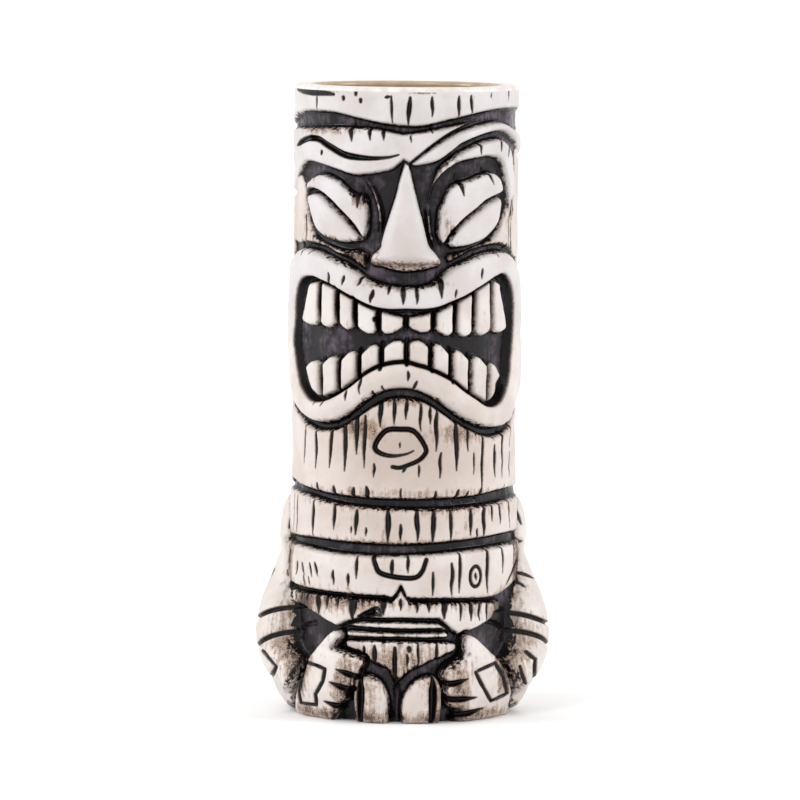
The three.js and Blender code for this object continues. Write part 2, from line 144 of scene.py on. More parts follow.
class Grid:
    """The unrolled outside of the mug: fine columns in front, coarser ones behind."""

    def __init__(self):
        front = round(2 * arc_length(FRONT_LIMIT) / FINE_CELL)
        back = round((2 * math.pi * REFERENCE_RADIUS - 2 * arc_length(FRONT_LIMIT)) / BACK_CELL)
        front_angles = np.linspace(-FRONT_LIMIT, FRONT_LIMIT, front, endpoint=False)
        back_angles = np.linspace(FRONT_LIMIT, 360 - FRONT_LIMIT, back, endpoint=False)
        self.angle = np.concatenate([front_angles, back_angles])
        self.angle = np.where(self.angle > 180, self.angle - 360, self.angle)
        order = np.argsort(self.angle)
        self.angle = self.angle[order]
        self.z = np.linspace(0, RIM_BASE, round(RIM_BASE / FINE_CELL) + 1)
        self.columns = len(self.angle)
        self.rows = len(self.z)
        heights, radii = zip(*TRUNK)
        trunk = np.interp(self.z, heights, radii)
        self.trunk = np.repeat(blur_rows(trunk, TRUNK_BLEND)[:, None], self.columns, axis=1)
        self.sin = np.sin(np.radians(self.angle))
        self.cos = np.cos(np.radians(self.angle))

    def window(self, low, high, margin=0.0):
        """Rows and columns of the box from low to high, both (length round the mug, z)."""
        middle = (low[0] + high[0]) / 2
        half = (high[0] - low[0]) / 2 + margin
        lap = 2 * math.pi * REFERENCE_RADIUS
        offset = (arc_length(self.angle) - middle + lap / 2) % lap - lap / 2
        columns = np.nonzero(np.abs(offset) <= half)[0]
        rows = np.nonzero((self.z >= low[1] - margin) & (self.z <= high[1] + margin))[0]
        x, z = np.meshgrid(offset[columns] + middle, self.z[rows])
        return np.ix_(rows, columns), x, z


def blur_kernel(sigma_mm):
    """Gaussian weights, and how many cells they reach to each side."""
    reach = max(1, round(3 * sigma_mm / FINE_CELL))
    kernel = np.exp(-0.5 * (np.arange(-reach, reach + 1) * FINE_CELL / sigma_mm) ** 2)
    return kernel / kernel.sum(), reach


def blur_rows(values, sigma_mm):
    """Gaussian blur along z, with held ends."""
    kernel, reach = blur_kernel(sigma_mm)
    padded = np.pad(values, [(reach, reach)] + [(0, 0)] * (values.ndim - 1), mode="edge")
    return sum(k * padded[i:i + len(values)] for i, k in enumerate(kernel))


def blur(field, sigma_mm):
    """Gaussian blur both ways. Columns wrap round the mug."""
    kernel, reach = blur_kernel(sigma_mm)
    padded = np.pad(blur_rows(field, sigma_mm), [(0, 0), (reach, reach)], mode="wrap")
    return sum(k * padded[:, i:i + field.shape[1]] for i, k in enumerate(kernel))


grid = Grid()


def distance_inside(x, z, outline):
    """Distance inside a closed outline, negative outside, and never less than FAR_OUTSIDE."""
    d, _ = segment_distance(x, z, np.vstack([outline, outline[:1]]))
    return np.maximum(np.where(inside(x, z, outline), d, -d), FAR_OUTSIDE)


def signed_distance(loop):
    """Distance inside a closed (angle, z) outline over the whole grid."""
    outline = on_surface(loop)
    field = np.full((grid.rows, grid.columns), FAR_OUTSIDE)
    where, x, z = grid.window(outline.min(0), outline.max(0), margin=-FAR_OUTSIDE)
    field[where] = distance_inside(x, z, outline)
    return field


def band_distance(upper, lower):
    """Distance inside a band that runs right round, between two (angle, z) lines from -180 to 180."""
    edges = []
    for line in (upper, lower):
        dense = smooth_line(line)
        edges.append(np.interp(grid.angle, dense[:, 0], dense[:, 1]))
    top, bottom = edges
    return np.minimum(top[None, :] - grid.z[:, None], grid.z[:, None] - bottom[None, :])


# ---- Outlines of the members, as (angle, z) ----

FOREHEAD_LOWER = [
    (-180, 170), (-130, 169.6), (-104, 168), (-89, 168.6), (-73.5, 171.5), (-62.7, 172.5),
    (-42.4, 172.6), (-26.7, 171.2), (-9.9, 169.7), (6.9, 169.2), (23.7, 171), (45.3, 173.1),
    (64.5, 173.7), (84, 173.5), (104, 171.5), (130, 170), (180, 170),
]
FOREHEAD_UPPER = [(-180, HEIGHT), (180, HEIGHT)]
NECK_UPPER = [
    (-180, 62.6), (-120, 62.8), (-90, 64.4), (-68.2, 63.8), (-43.4, 62.3), (-21.7, 61.4),
    (15.8, 61), (35.5, 61.3), (58.9, 61.8), (84, 62.6), (120, 62.8), (180, 62.6),
]
NECK_LOWER = [
    (-180, 51.9), (-120, 51.7), (-90, 50.7), (-57, 51.3), (-35.5, 51.2), (-2, 50.9), (18.8, 51.4),
    (59.8, 52.5), (88, 52.3), (120, 51.9), (180, 51.9),
]
COLLAR_UPPER = [
    (-180, 48.8), (-120, 48.8), (-88, 49.4), (-64.5, 48.8), (-35.5, 47.9), (-1, 47.8),
    (30.6, 48.8), (60.8, 49.4), (88, 50), (120, 49), (180, 48.8),
]
COLLAR_LOWER = [
    (-180, 36.5), (-120, 36.7), (-88, 37.7), (-64.5, 36.7), (-48.2, 36.6), (-21.7, 36.3),
    (-8.9, 36.2), (-5.9, 35.7), (-3.4, 37.1), (-1, 39.4), (1.4, 37.1), (4, 35.7), (21.7, 35.4),
    (41.4, 34.9), (53.1, 34.9), (66.4, 36.5), (84, 38.9), (120, 36.7), (180, 36.5),
]

BROW_LEFT = joined(
    [
        (-103, 158), (-102, 164), (-98, 166.8), (-90, 166.9), (-73.5, 167.8), (-61.7, 168),
        (-34.5, 168.5), (-19.8, 168.3), (-9.9, 167.7), (-1, 166.8), (11.9, 167.8), (26.7, 169.2),
        (36, 170),
    ],
    [
        (34, 169.8), (25, 167.8), (13.8, 164), (1.6, 158.7),
    ],
    [
        (-1.4, 159.7), (-6.5, 157.3), (-11.9, 156.3), (-26.7, 155.2), (-39.4, 156.5),
        (-50.2, 157.7), (-58.9, 158.3), (-65.5, 157.9), (-71.8, 155.5), (-82, 150.8), (-92, 149.2),
        (-99, 152), (-102.6, 156),
    ],
)
BROW_RIGHT = joined(
    [
        (3, 158.7), (8.9, 161.2), (15.8, 163.8), (23.7, 166.3), (32.6, 168.2), (51.2, 170),
        (62.7, 169.6), (76.8, 167.4), (94, 165.6), (99.6, 164.6), (101.6, 162.6),
    ],
    [
        (100, 160.4), (94, 160), (84, 162), (71.8, 165), (62.7, 167), (54.1, 167.4), (43.4, 166.5),
        (30.6, 164.4), (23.7, 161.8), (16.8, 159.4), (7.9, 158.2), (3, 158),
    ],
)
BROW_RIGHT_LOWER = joined(
    [
        (12.3, 148.6), (14.8, 152.8), (20.7, 156.5), (29.6, 159), (41.4, 160.1), (49.2, 160.3),
        (57, 159.3), (62.7, 155.7), (65.5, 150.2), (66.8, 142.6),
    ],
    [
        (72.8, 142.6), (74, 149.2), (74, 155.1), (70.9, 160.1), (65.5, 163.2), (57.9, 165.2),
        (49.2, 165), (41.4, 164.2), (30.6, 162), (23.7, 159.9), (16.8, 156.8),
    ],
)
EYELID_LEFT = joined(
    [
        (-65, 150.1), (-58.9, 150.8), (-51.2, 150.2), (-44.3, 148.6), (-37.5, 145.9),
        (-27.6, 141.1), (-22.3, 137.2),
    ],
    [
        (-20.5, 138.9), (-19.8, 143.3), (-20.7, 147.8), (-23.3, 149.8), (-26.7, 149.5),
        (-32.6, 151.2), (-37.5, 153.2), (-47.3, 154.9), (-54.1, 154.5), (-60.8, 152.8),
    ],
)
EYEBALL_LEFT = joined(
    [
        (-63.2, 148.7), (-57, 149.4), (-50.2, 148.8), (-37.5, 144.3), (-27.6, 139.5),
        (-22.7, 136.9),
    ],
    [
        (-27.6, 136.2), (-33.6, 136), (-40.4, 136.3), (-47.3, 137.3), (-53.1, 139.3),
        (-57.9, 142.9), (-61.5, 146.2),
    ],
)
EYELID_RIGHT = joined(
    [
        (19.4, 135.8), (16.8, 138.3), (17.2, 144.3), (19.8, 148.2), (23.7, 151.6), (28.6, 153.1),
        (35.5, 153.9), (43.4, 155.3), (51.2, 155.7), (57, 153.7), (59.8, 150.6),
    ],
    [
        (57, 149.7), (46.3, 148.1), (37.5, 145.2), (29.6, 142.3), (23.7, 139.1),
    ],
)
EYEBALL_RIGHT = joined(
    [
        (21.1, 135.9), (25.7, 138.9), (31.6, 141.9), (39.4, 144.7), (47.3, 147.1), (57.5, 148.9),
    ],
    [
        (58.3, 146.6), (56, 142.3), (52.1, 139.5), (45.3, 137.1), (38.5, 135.8), (31.6, 135.1),
        (25.7, 134.8),
    ],
)
NOSE = joined(
    [
        (-0.8, 158.9), (-3.4, 154.1), (-5.5, 149.4), (-7.9, 145.2), (-10.3, 140.9), (-12.3, 136.9),
        (-13, 135), (-16.8, 133), (-18, 131.4), (-17.2, 130),
    ],
    [
        (-11.9, 129.6), (-5.9, 128.6), (0, 128.3), (7.9, 128.6), (13.8, 129.4),
    ],
    [
        (17.4, 130), (17.6, 131.4), (15.2, 133.4), (11.9, 135.6), (10.5, 138.3), (8.9, 142),
        (6.9, 146.2), (4.9, 150.4), (2.8, 155.1), (1.4, 158.1),
    ],
)
CHEEK_LEFT = joined(
    [
        (-112, 138.3), (-84, 135), (-73.5, 134.8), (-65.5, 135.4), (-48.2, 134.7), (-39.4, 133),
        (-30.6, 131.7), (-21.7, 128.8),
    ],
    [
        (-20.7, 132.8), (-25.7, 133.8), (-33.6, 133.6), (-43.4, 134.6), (-53.1, 136.3),
        (-59.8, 139.3), (-64, 144), (-66.6, 150), (-72, 153.6), (-80, 153.4), (-92, 150.4),
        (-112, 150),
    ],
)
CHEEK_RIGHT = joined(
    [
        (22.7, 132.7), (23.7, 131.1), (30.6, 132.7), (39.4, 134.6), (51.2, 135.4), (60.8, 135.2),
        (70.1, 133.8), (82, 131), (112, 130.4),
    ],
    [
        (112, 161), (96, 161.6), (86, 162), (78.6, 160), (77.2, 152), (74.6, 147), (67, 146),
        (62.4, 143), (57, 138.9), (51.2, 136.9), (43.4, 135.1), (33.6, 133.6),
    ],
)
LIP_OUTER_TOP = smooth_line([
    (-105.5, 110), (-103.5, 117.5), (-97, 124.5), (-88, 129.6), (-76, 131.8), (-65.5, 133.6),
    (-57, 133.4), (-48.2, 132.7), (-39.4, 131.3), (-30.6, 129.6), (-20.7, 126.5), (-13.8, 124.9),
    (-4.9, 124.1), (3, 123.8), (9.9, 124.2), (16.8, 125.9), (23.7, 129), (39.4, 132.3),
    (49.2, 133.3), (59.8, 133.4), (68.2, 132), (81, 128.4), (92, 124.6), (101, 117.5),
    (103.5, 109),
])
LIP_OUTER_BOTTOM = smooth_line([
    (103, 104), (98.5, 97), (90, 91.6), (76.8, 87.7), (69.2, 85.1), (60.8, 83.5), (53.1, 83.2),
    (45.3, 83.7), (36.5, 85.3), (27.6, 87.9), (19.8, 90.9), (11.9, 93.4), (4, 95), (-4, 95.2),
    (-11.9, 94.2), (-19.8, 91.7), (-27.6, 88.5), (-35.5, 85.9), (-43.4, 84.7), (-52.1, 84.5),
    (-59.8, 85.5), (-68.2, 87.1), (-82, 89.9), (-93, 93.6), (-101, 99.5), (-104.5, 105),
])
MOUTH = smooth_line([
    (-53.1, 125.4), (-59.8, 125.2), (-65.5, 124.1), (-70.6, 121.1), (-73, 115.6), (-73.9, 108.7),
    (-71.8, 102.7), (-68.2, 97.4), (-63.6, 93.8), (-56, 91.3), (-49.2, 90.9), (-42.4, 91.7),
    (-36.5, 93.1), (-28.6, 95.8), (-21.7, 98.8), (-15.8, 100.8), (-10.9, 101.9), (-4.9, 102.6),
    (1, 102.7), (6.9, 101.8), (12.8, 100.8), (23.7, 97.9), (32.6, 94.4), (43.4, 90.8),
    (49.2, 89.9), (55, 90.5), (59.8, 92.2), (64.5, 96.8), (67.7, 103.7), (70.6, 111.6),
    (71.3, 117.6), (69.2, 122.1), (64.5, 125.1), (57.9, 126.5), (52.1, 125.9), (44.3, 124.1),
    (36.5, 122.1), (29.6, 120.4), (23.7, 119.3), (16.8, 117.9), (9.9, 117.3), (0, 117.3),
    (-7.9, 117.2), (-15.8, 117.8), (-24.7, 119.7), (-35.5, 122.4), (-42.4, 123.9),
])
CHIN_TOP = smooth_line([
    (-112, 100.8), (-96, 91.9), (-83, 87.5), (-68.2, 84.9), (-59.8, 83.4), (-52.1, 82.4),
    (-43.4, 82.6), (-35.5, 83.6), (-27.6, 85.9), (-19.8, 88.7), (-11.9, 91.3), (-4, 92.5),
    (4, 92.3), (11.9, 90.9), (19.8, 88.3), (27.6, 85.5), (36.5, 83.2), (45.3, 81.4), (53.1, 80.8),
    (60.8, 81.2), (69.2, 82.8), (76.8, 85.5), (90, 88.9), (112, 98.8),
])
CHIN_BOTTOM = smooth_line([
    (112, 66.2), (88, 65.4), (70.1, 65.2), (55, 64.9), (39.4, 64.2), (20.7, 63.9), (-7.9, 63.8),
    (-32.6, 64.2), (-54.1, 65), (-72.7, 66.2), (-89, 67.4), (-112, 67.2),
])


# ---- Sculpting ----

LIMB_GAP = 1.1  # how far short of an arm, hand or foot the carving behind it stops

members = {}  # name of each member and how far inside it every grid point is
limbs = {}  # the same for the arms, hands and feet, which lie over everything else
arm_reaches = {}  # how far out from the axis each arm reaches: -1 is the left one and 1 the right
claimed = np.full((grid.rows, grid.columns), FAR_OUTSIDE)
sideways = smoothstep(50, 86, np.abs(grid.angle))[None, :]  # 0 in front, 1 at the sides and behind
groove_floor = -(FLOOR_DEPTH + (SIDE_FLOOR_DEPTH - FLOOR_DEPTH) * sideways)
relief = np.repeat(groove_floor, grid.rows, axis=0)
smudge_and_shade = np.zeros((grid.rows, grid.columns))  # where the stain was wiped less clean, and painted shade under the nose and beside the arms
browning_and_shade = np.zeros((grid.rows, grid.columns))  # where the glaze is browner: partly its own tint, partly painted shade on the middle of the nose and chin


def raise_member(name, distance, top, edge=1.15, overhang=0.45, floor=None):
    """Lifts a member off the groove floor. top is its height over the trunk, as a number or a field.

    Its side rises over the width edge, which starts overhang outside its outline.
    """
    if name not in limbs:
        distance = np.minimum(distance, -claimed - LIMB_GAP)
    members[name] = distance.astype(np.float32)
    base = groove_floor if floor is None else floor
    rise = smoothstep(-overhang, edge - overhang, distance)
    np.maximum(relief, base + (top - base) * rise, out=relief)


def pillowed(distance, lift, width, edge_drop=0.0):
    """A height that is lift in the middle of a member and falls in a round to edge_drop at its edge."""
    return edge_drop + (lift - edge_drop) * pillow(distance, width)


BACK_FROM_ANGLE = 84
BACK_MARGIN = 1.5  # width of the groove between the back and the face's raised members


def sculpt_back(name, low, high, clear_of):
    """The plain back between two heights, which comes round to the sides and stops short of the face."""
    round_back = arc_length(np.abs(grid.angle) - BACK_FROM_ANGLE)[None, :]
    tall = np.minimum(grid.z - low, high - grid.z)[:, None]
    distance = np.maximum(np.minimum(round_back, tall), FAR_OUTSIDE)
    for other in clear_of:
        distance = np.minimum(distance, -members[other] - BACK_MARGIN)
    raise_member(name, distance, top=0.0)


def sculpt_bands():
    raise_member("forehead_band", band_distance(FOREHEAD_UPPER, FOREHEAD_LOWER), top=0.1)
    raise_member("neck_band", band_distance(NECK_UPPER, NECK_LOWER), top=0.2)
    collar = band_distance(COLLAR_UPPER, COLLAR_LOWER)
    raise_member("collar_band", collar, pillowed(collar, lift=1.0, width=4.0, edge_drop=0.3))


def sculpt_face():
    raise_member("brow_left", signed_distance(BROW_LEFT), top=0.1)
    brow = signed_distance(BROW_RIGHT)
    raise_member("brow_right", brow, pillowed(brow, lift=0.7, width=2.6))
    arch = signed_distance(BROW_RIGHT_LOWER)
    raise_member("brow_right_lower", arch, pillowed(arch, lift=0.4, width=2.0, edge_drop=-0.2))
    raise_member("cheek_left", signed_distance(CHEEK_LEFT), top=-0.7)
    raise_member("cheek_right", signed_distance(CHEEK_RIGHT), top=-0.4)
    for side, lid_outline, ball_outline in (
        ("left", EYELID_LEFT, EYEBALL_LEFT), ("right", EYELID_RIGHT, EYEBALL_RIGHT),
    ):
        lid = signed_distance(lid_outline)
        raise_member(f"eyelid_{side}", lid, pillowed(lid, lift=0.9, width=4.5, edge_drop=-0.3), edge=0.9)
        ball = signed_distance(ball_outline)
        top = pillowed(ball, lift=1.1, width=4.5, edge_drop=-0.9)
        raise_member(f"eyeball_{side}", ball, top, edge=0.8, overhang=0.3)
    sculpt_nose()


NOSE_ROOT = 159  # heights of the top of the nose, of its tip and of its underside
NOSE_TIP = 132.9
NOSE_UNDERSIDE = 128
ROOT_LIFT = 0.8  # how far the nose stands out at its root
TIP_LIFT = 5.4  # and how much further at its tip


def sculpt_nose():
    """A wedge that stands out further and grows wider towards its tip, and is cut back under it."""
    distance = signed_distance(NOSE)
    down = np.clip((NOSE_ROOT - grid.z) / (NOSE_ROOT - NOSE_TIP), 0, 1)[:, None]
    bridge = ROOT_LIFT + TIP_LIFT * down**1.25
    under = 1 - 0.75 * smoothstep(NOSE_TIP, NOSE_UNDERSIDE, grid.z)[:, None]
    half_width = 0.8 + 6.2 * down
    raise_member("nose", distance, bridge * under * pillow(distance, half_width), edge=0.9)


MOUTH_FLOOR = -3.3
LIP_PARTING = 108.7  # height at which the lips meet in the corners of the mouth


def sculpt_mouth():
    ring = np.vstack([LIP_OUTER_TOP, LIP_OUTER_BOTTOM])
    hole = signed_distance(MOUTH)
    lips = np.minimum(signed_distance(ring), -hole)
    above = np.broadcast_to(grid.z[:, None] >= LIP_PARTING, lips.shape)
    top = pillowed(lips, lift=2.0 - 0.9 * sideways, width=4.6, edge_drop=-0.2)
    raise_member("upper_lip", np.where(above, lips, FAR_OUTSIDE), top)
    raise_member("lower_lip", np.where(above, FAR_OUTSIDE, lips), top)
    void = smoothstep(-0.4, 0.8, hole)
    relief[...] = relief * (1 - void) + MOUTH_FLOOR * void
    sculpt_teeth(hole)


# The teeth, as angles of the gaps' middles and the heights of the bite and of the gum there.
UPPER_SIDES = [-68.7, -50.2, -37.5, -26.7, -13.8, 0.6, 15, 26.9, 38.5, 51.2, 66.9]
UPPER_BITE = [112.2, 111.8, 111.9, 111.2, 110.3, 111.8, 110.8, 109.9, 109.7, 110.1, 110.4]
UPPER_GUM = [123.1, 124.7, 122.9, 120.3, 117, 115.2, 116.6, 119.3, 122.5, 125.5, 122.5]
LOWER_SIDES = [-64.5, -49.2, -36.5, -24.7, -12.3, 1, 13.8, 24.7, 36.5, 49.2, 60.8]
LOWER_BITE = [100.8, 102.3, 103.9, 105.7, 107.7, 108.9, 108, 106.2, 104.3, 102.1, 99.2]
LOWER_GUM = [95.4, 91.5, 93.8, 97.6, 100.7, 102.1, 100.2, 97, 93.2, 90.5, 95.8]
TEETH = 10  # in each row
TOOTH_GAP = 1.2  # degrees from a tooth's side to the middle of the gap
OUTER_SLANT = {"upper": 7, "lower": 4}  # degrees that the outermost teeth lean in towards the gum
CORNER_ACROSS = 1.9  # size of a tooth's cut-off corner: degrees across
CORNER_UP = 1.2  # and mm up


def tooth_outline(row, i, sides, bite, gum):
    """One tooth, with its two biting corners cut off. The outermost ones lean in."""
    left, right = sides[i] + TOOTH_GAP, sides[i + 1] - TOOTH_GAP
    middle = (left + right) / 2
    up = CORNER_UP if row == "upper" else -CORNER_UP
    lean_left = OUTER_SLANT[row] if i == 0 else 0
    lean_right = OUTER_SLANT[row] if i == TEETH - 1 else 0
    return [
        (left + lean_left, gum[i]), (middle, (gum[i] + gum[i + 1]) / 2), (right - lean_right, gum[i + 1]),
        (right, bite[i + 1] + up), (right - CORNER_ACROSS, bite[i + 1] + 0.15 * up),
        (middle, (bite[i] + bite[i + 1]) / 2 - 0.25 * up),
        (left + CORNER_ACROSS, bite[i] + 0.15 * up), (left, bite[i] + up),
    ]


def sculpt_teeth(hole):
    rows = (("upper", UPPER_SIDES, UPPER_BITE, UPPER_GUM), ("lower", LOWER_SIDES, LOWER_BITE, LOWER_GUM))
    for row, *shape in rows:
        for i in range(TEETH):
            distance = np.minimum(signed_distance(tooth_outline(row, i, *shape)), hole - 0.15)
            top = pillowed(distance, lift=-0.1, width=1.8, edge_drop=-0.9)
            raise_member(f"{row}_tooth_{i + 1}", distance, top, edge=0.7, overhang=0.35, floor=MOUTH_FLOOR)


def sculpt_chin():
    raise_member("chin", signed_distance(np.vstack([CHIN_TOP, CHIN_BOTTOM])), top=0.0)


# ---- Belly, belt and feet, as (angle, z) ----

BELLY = [
    (-84, 35.5), (-64.5, 35.5), (-48.2, 35.5), (-21.7, 35.2), (-8.9, 35), (-5.9, 34.5),
    (-3.4, 35.9), (-1, 38.3), (1.4, 35.9), (4, 34.5), (21.7, 34.3), (41.4, 33.8), (53.1, 33.8),
    (59.8, 33.9), (57.9, 30.6), (50.2, 28.2), (40.4, 26.4), (34.5, 25.6), (30, 25), (24.7, 27.2),
    (19.3, 29.8), (0, 30.1), (-21.7, 29.9), (-29.6, 28.6), (-35.5, 27), (-42.4, 28.2),
    (-50.2, 29.8), (-60.8, 31), (-73.5, 31.8), (-84, 31.8),
]
BELT_UPPER = [
    (-30.6, 27.5), (-21.7, 28.6), (0, 28.8), (18.8, 28.3), (25.7, 25.9), (19.8, 27), (0, 27),
    (-21.7, 27.3),
]
BELT_LOWER = [
    (-32.2, 25.8), (-21.7, 25.9), (0, 25.7), (22.7, 25.8), (24.7, 24.8), (22.7, 24.3), (0, 24.6),
    (-29.6, 24.4),
]
LOINCLOTH = [
    (-30.6, 23.1), (-14.8, 23.4), (0, 23.4), (22.7, 22.9), (30.6, 22.3), (27.1, 20.3),
    (14.8, 17.7), (4, 15.1), (-1.6, 12.2), (-3.4, 10), (-5.1, 13.8), (-7.9, 15.8), (-13.8, 16.7),
    (-19.8, 18.5), (-24.7, 20.3), (-29.6, 21.3),
]
FOOT_LEFT = smooth_line([
    (-6.7, -1), (-6.5, 2.9), (-6.9, 7.1), (-8.9, 10.4), (-12.5, 12.7), (-16.8, 13.6),
    (-20.7, 13.4), (-24.1, 11.8), (-25.1, 6.9), (-24.9, -1),
])
FOOT_RIGHT = smooth_line([
    (-1, -1), (-0.6, 2.9), (0.2, 6.7), (2.6, 9.8), (6.9, 12.2), (11.9, 13.4), (16.8, 13.4),
    (19.8, 10.8), (20.5, 5.9), (20.2, -1),
])
FOOT_SLITS = (-20.2, 15)

# ---- Hands and arms, seen square from the front, as (x, z) ----

HAND_LEFT = smooth_line([
    (-18.8, 26), (-18.2, 24.1), (-20.4, 21.3), (-18.4, 20.3), (-14.8, 19.4), (-12.3, 18.7),
    (-11.5, 17.1), (-12.7, 15.2), (-12.8, 13.6), (-14.2, 12.4), (-14.4, 10.6), (-16, 8.8),
    (-16.2, 6.7), (-18.4, 4.7), (-18.6, 2.5), (-20.8, -1), (-29.7, -1), (-31, 2.9), (-30.6, 7.8),
    (-29.5, 11.8), (-27.9, 16.1), (-25.3, 20.3), (-22.1, 24.3), (-20.4, 26),
], per_span=4)
HAND_RIGHT = smooth_line([
    (18.4, 24.4), (19.8, 25), (21.7, 24.1), (24.7, 21.1), (28.3, 17.1), (30.6, 13), (31.6, 7.8),
    (31.2, 2.9), (29.7, -1), (16.4, -1), (15.2, 1.5), (15.8, 3.5), (13.4, 5.3), (13.2, 7.4),
    (12.3, 9.2), (12.9, 11.4), (11.7, 13.2), (12.1, 14.8), (14.2, 16.7), (17.2, 18.1),
    (18.6, 19.7), (18, 22.1),
], per_span=4)
FINGER_GAPS = [
    [(-12.5, 13.2), (-15.2, 14), (-18.8, 15.2)],
    [(-13.8, 9.7), (-17.2, 10.1), (-20.6, 11.4)],
    [(-16.2, 4.3), (-19.2, 4.5), (-22.1, 5.5)],
    [(11.9, 11.7), (15.2, 11.7), (18.8, 12.8)],
    [(12.9, 7.1), (16.8, 6.9), (21.2, 7.2)],
    [(14.4, 2.3), (18.8, 2.5), (23.3, 3.7)],
]
# The arm's inner edge from the shoulder down to the ground.
ARM_EDGE = [
    (32.3, 65.8), (32.2, 61.2), (31.3, 56.3), (31.2, 51.3), (34, 49.4), (33.2, 43.9), (32.4, 38.5),
    (31.6, 32.6), (31.1, 28.2), (31.4, 25), (33, 22.1), (31.8, 17.7), (29.5, 16.5), (30.6, 11.8),
    (31.8, 6.3), (31.4, -2),
]
ARM_PATH = [  # x, y, z and radius of the arm from the shoulder to the wrist
    (28.3, 1.5, 60.2, 4.5), (29.1, 1, 56.3, 5.7), (29.5, 1, 51.3, 6), (29.7, 1, 47.4, 5.4),
    (29.9, 1, 44.4, 5.2), (30.3, 0.5, 40.5, 6.3), (31.1, 0, 35.5, 7.4), (32.2, -0.6, 29.6, 8.6),
    (33.1, -1, 24.6, 9), (33.2, -1.6, 20.7, 9), (32.2, -4, 16, 8.3), (30.1, -9, 12.6, 7.5),
    (27.3, -14, 9.8, 6.9),
]
HIP_PATH = [
    (30.8, -1, 13.8, 7.5), (29.9, -2, 8.8, 6.7), (28.3, -4, 4.5, 5.7), (27.3, -7, 2.3, 5.1),
    (26.7, 0, 2.9, 5.3),
]


def front_window(lift, low, high, turned):
    """Where a surface at that lift, seen square from the front, lies in the (x, z) box from low to high.

    turned is the least cosine of the angle from the front at which the surface still counts as seen.
    """
    x = (grid.trunk + lift) * grid.sin[None, :]
    z = np.broadcast_to(grid.z[:, None], x.shape)
    seen = (grid.cos > turned)[None, :]
    where = np.nonzero((x > low[0]) & (x < high[0]) & (z > low[1]) & (z < high[1]) & seen)
    return where, x[where], z[where]


def front_distance(outline, lift):
    """Distance inside an (x, z) outline seen square from the front, for a surface at that lift."""
    low, high = outline.min(0) + FAR_OUTSIDE, outline.max(0) - FAR_OUTSIDE
    where, x, z = front_window(lift, low, high, turned=-0.1)
    field = np.full(grid.trunk.shape, FAR_OUTSIDE)
    field[where] = distance_inside(x, z, outline)
    return field


BALLS_PER_SPAN = 24  # between two points of a limb's path


def swept_radius(path, side):
    """How far out from the axis a row of balls along a path reaches, at every grid point."""
    centres = smooth_line([p[:2] for p in path], BALLS_PER_SPAN)
    heights = smooth_line([p[2:] for p in path], BALLS_PER_SPAN)
    reach = np.zeros((grid.rows, grid.columns))
    for (x, y), (z, radius) in zip(centres, heights):
        rows = np.abs(grid.z - z) < radius
        out = side * x * grid.sin - y * grid.cos  # along the grid point's own direction, from the axis
        across2 = (x * x + y * y) - out**2
        room = radius**2 - across2[None, :] - (grid.z[rows, None] - z) ** 2
        ball = np.where(room > 0, out[None, :] + np.sqrt(np.maximum(room, 0)), 0)
        reach[rows] = np.maximum(reach[rows], ball)
    return reach


def hand_lift():
    """How far a hand stands out from the trunk at each height."""
    return (1.2 + 2.6 * smoothstep(0, 12, grid.z) - 1.0 * smoothstep(17, 25, grid.z))[:, None]


ARM_BREADTH = 4.5  # the arm is broader than thick: a second row of balls lies this far behind the first


def arm_reach(side):
    """How far out from the axis an arm, with its hip, reaches at every grid point."""
    behind = [(x * 0.985, y + ARM_BREADTH, z + 0.6, radius * 0.96) for x, y, z, radius in ARM_PATH]
    rows = [swept_radius(path, side) for path in (ARM_PATH, behind, HIP_PATH)]
    return np.max(rows, axis=0)


def arm_distance(side, reach, hand):
    """Distance inside what shows of an arm: outside its edge line, off the trunk, clear of the hand."""
    edge_x = np.interp(grid.z, [z for _, z in ARM_EDGE][::-1], [x for x, _ in ARM_EDGE][::-1])[:, None]
    behind = side * grid.angle[None, :] > 90
    past_edge = np.where(behind, 4.0, side * reach * grid.sin[None, :] - edge_x)
    distance = np.minimum(np.minimum(past_edge, reach - grid.trunk), -hand - LIMB_GAP)
    return np.maximum(np.where(reach > 0, distance, FAR_OUTSIDE), FAR_OUTSIDE)


def find_limbs():
    """Works out where the arms, hands and feet are, before the carving that they cover."""
    for name, side, outline in (("left", -1, HAND_LEFT), ("right", 1, HAND_RIGHT)):
        hand = front_distance(outline, hand_lift())
        limbs[f"hand_{name}"] = hand
        arm_reaches[side] = arm_reach(side)
        limbs[f"arm_{name}"] = arm_distance(side, arm_reaches[side], hand)
    limbs["foot_left"] = signed_distance(FOOT_LEFT)
    limbs["foot_right"] = signed_distance(FOOT_RIGHT)
    for distance in limbs.values():
        np.maximum(claimed, distance, out=claimed)


def sculpt_belly():
    raise_member("belly", signed_distance(BELLY), top=0.1, edge=0.9)
    raise_member("belt_upper", signed_distance(BELT_UPPER), top=0.3, edge=0.7, overhang=0.35)
    raise_member("belt_lower", signed_distance(BELT_LOWER), top=0.3, edge=0.7, overhang=0.35)
    raise_member("loincloth", signed_distance(LOINCLOTH), top=0.0, edge=0.9)


def sculpt_limbs():
    for side, sign in (("left", -1), ("right", 1)):
        foot = limbs[f"foot_{side}"]
        raise_member(f"foot_{side}", foot, pillowed(foot, lift=2.4, width=3.6, edge_drop=-0.4), edge=0.9)
        hand = limbs[f"hand_{side}"]
        back_of_hand = pillowed(hand, lift=1.0, width=3.4) + hand_lift() - 0.6
        raise_member(f"hand_{side}", hand, back_of_hand, edge=1.0)
        arm_top = arm_reaches[sign] - grid.trunk
        raise_member(f"arm_{side}", limbs[f"arm_{side}"], arm_top, edge=0.9, overhang=0.3)


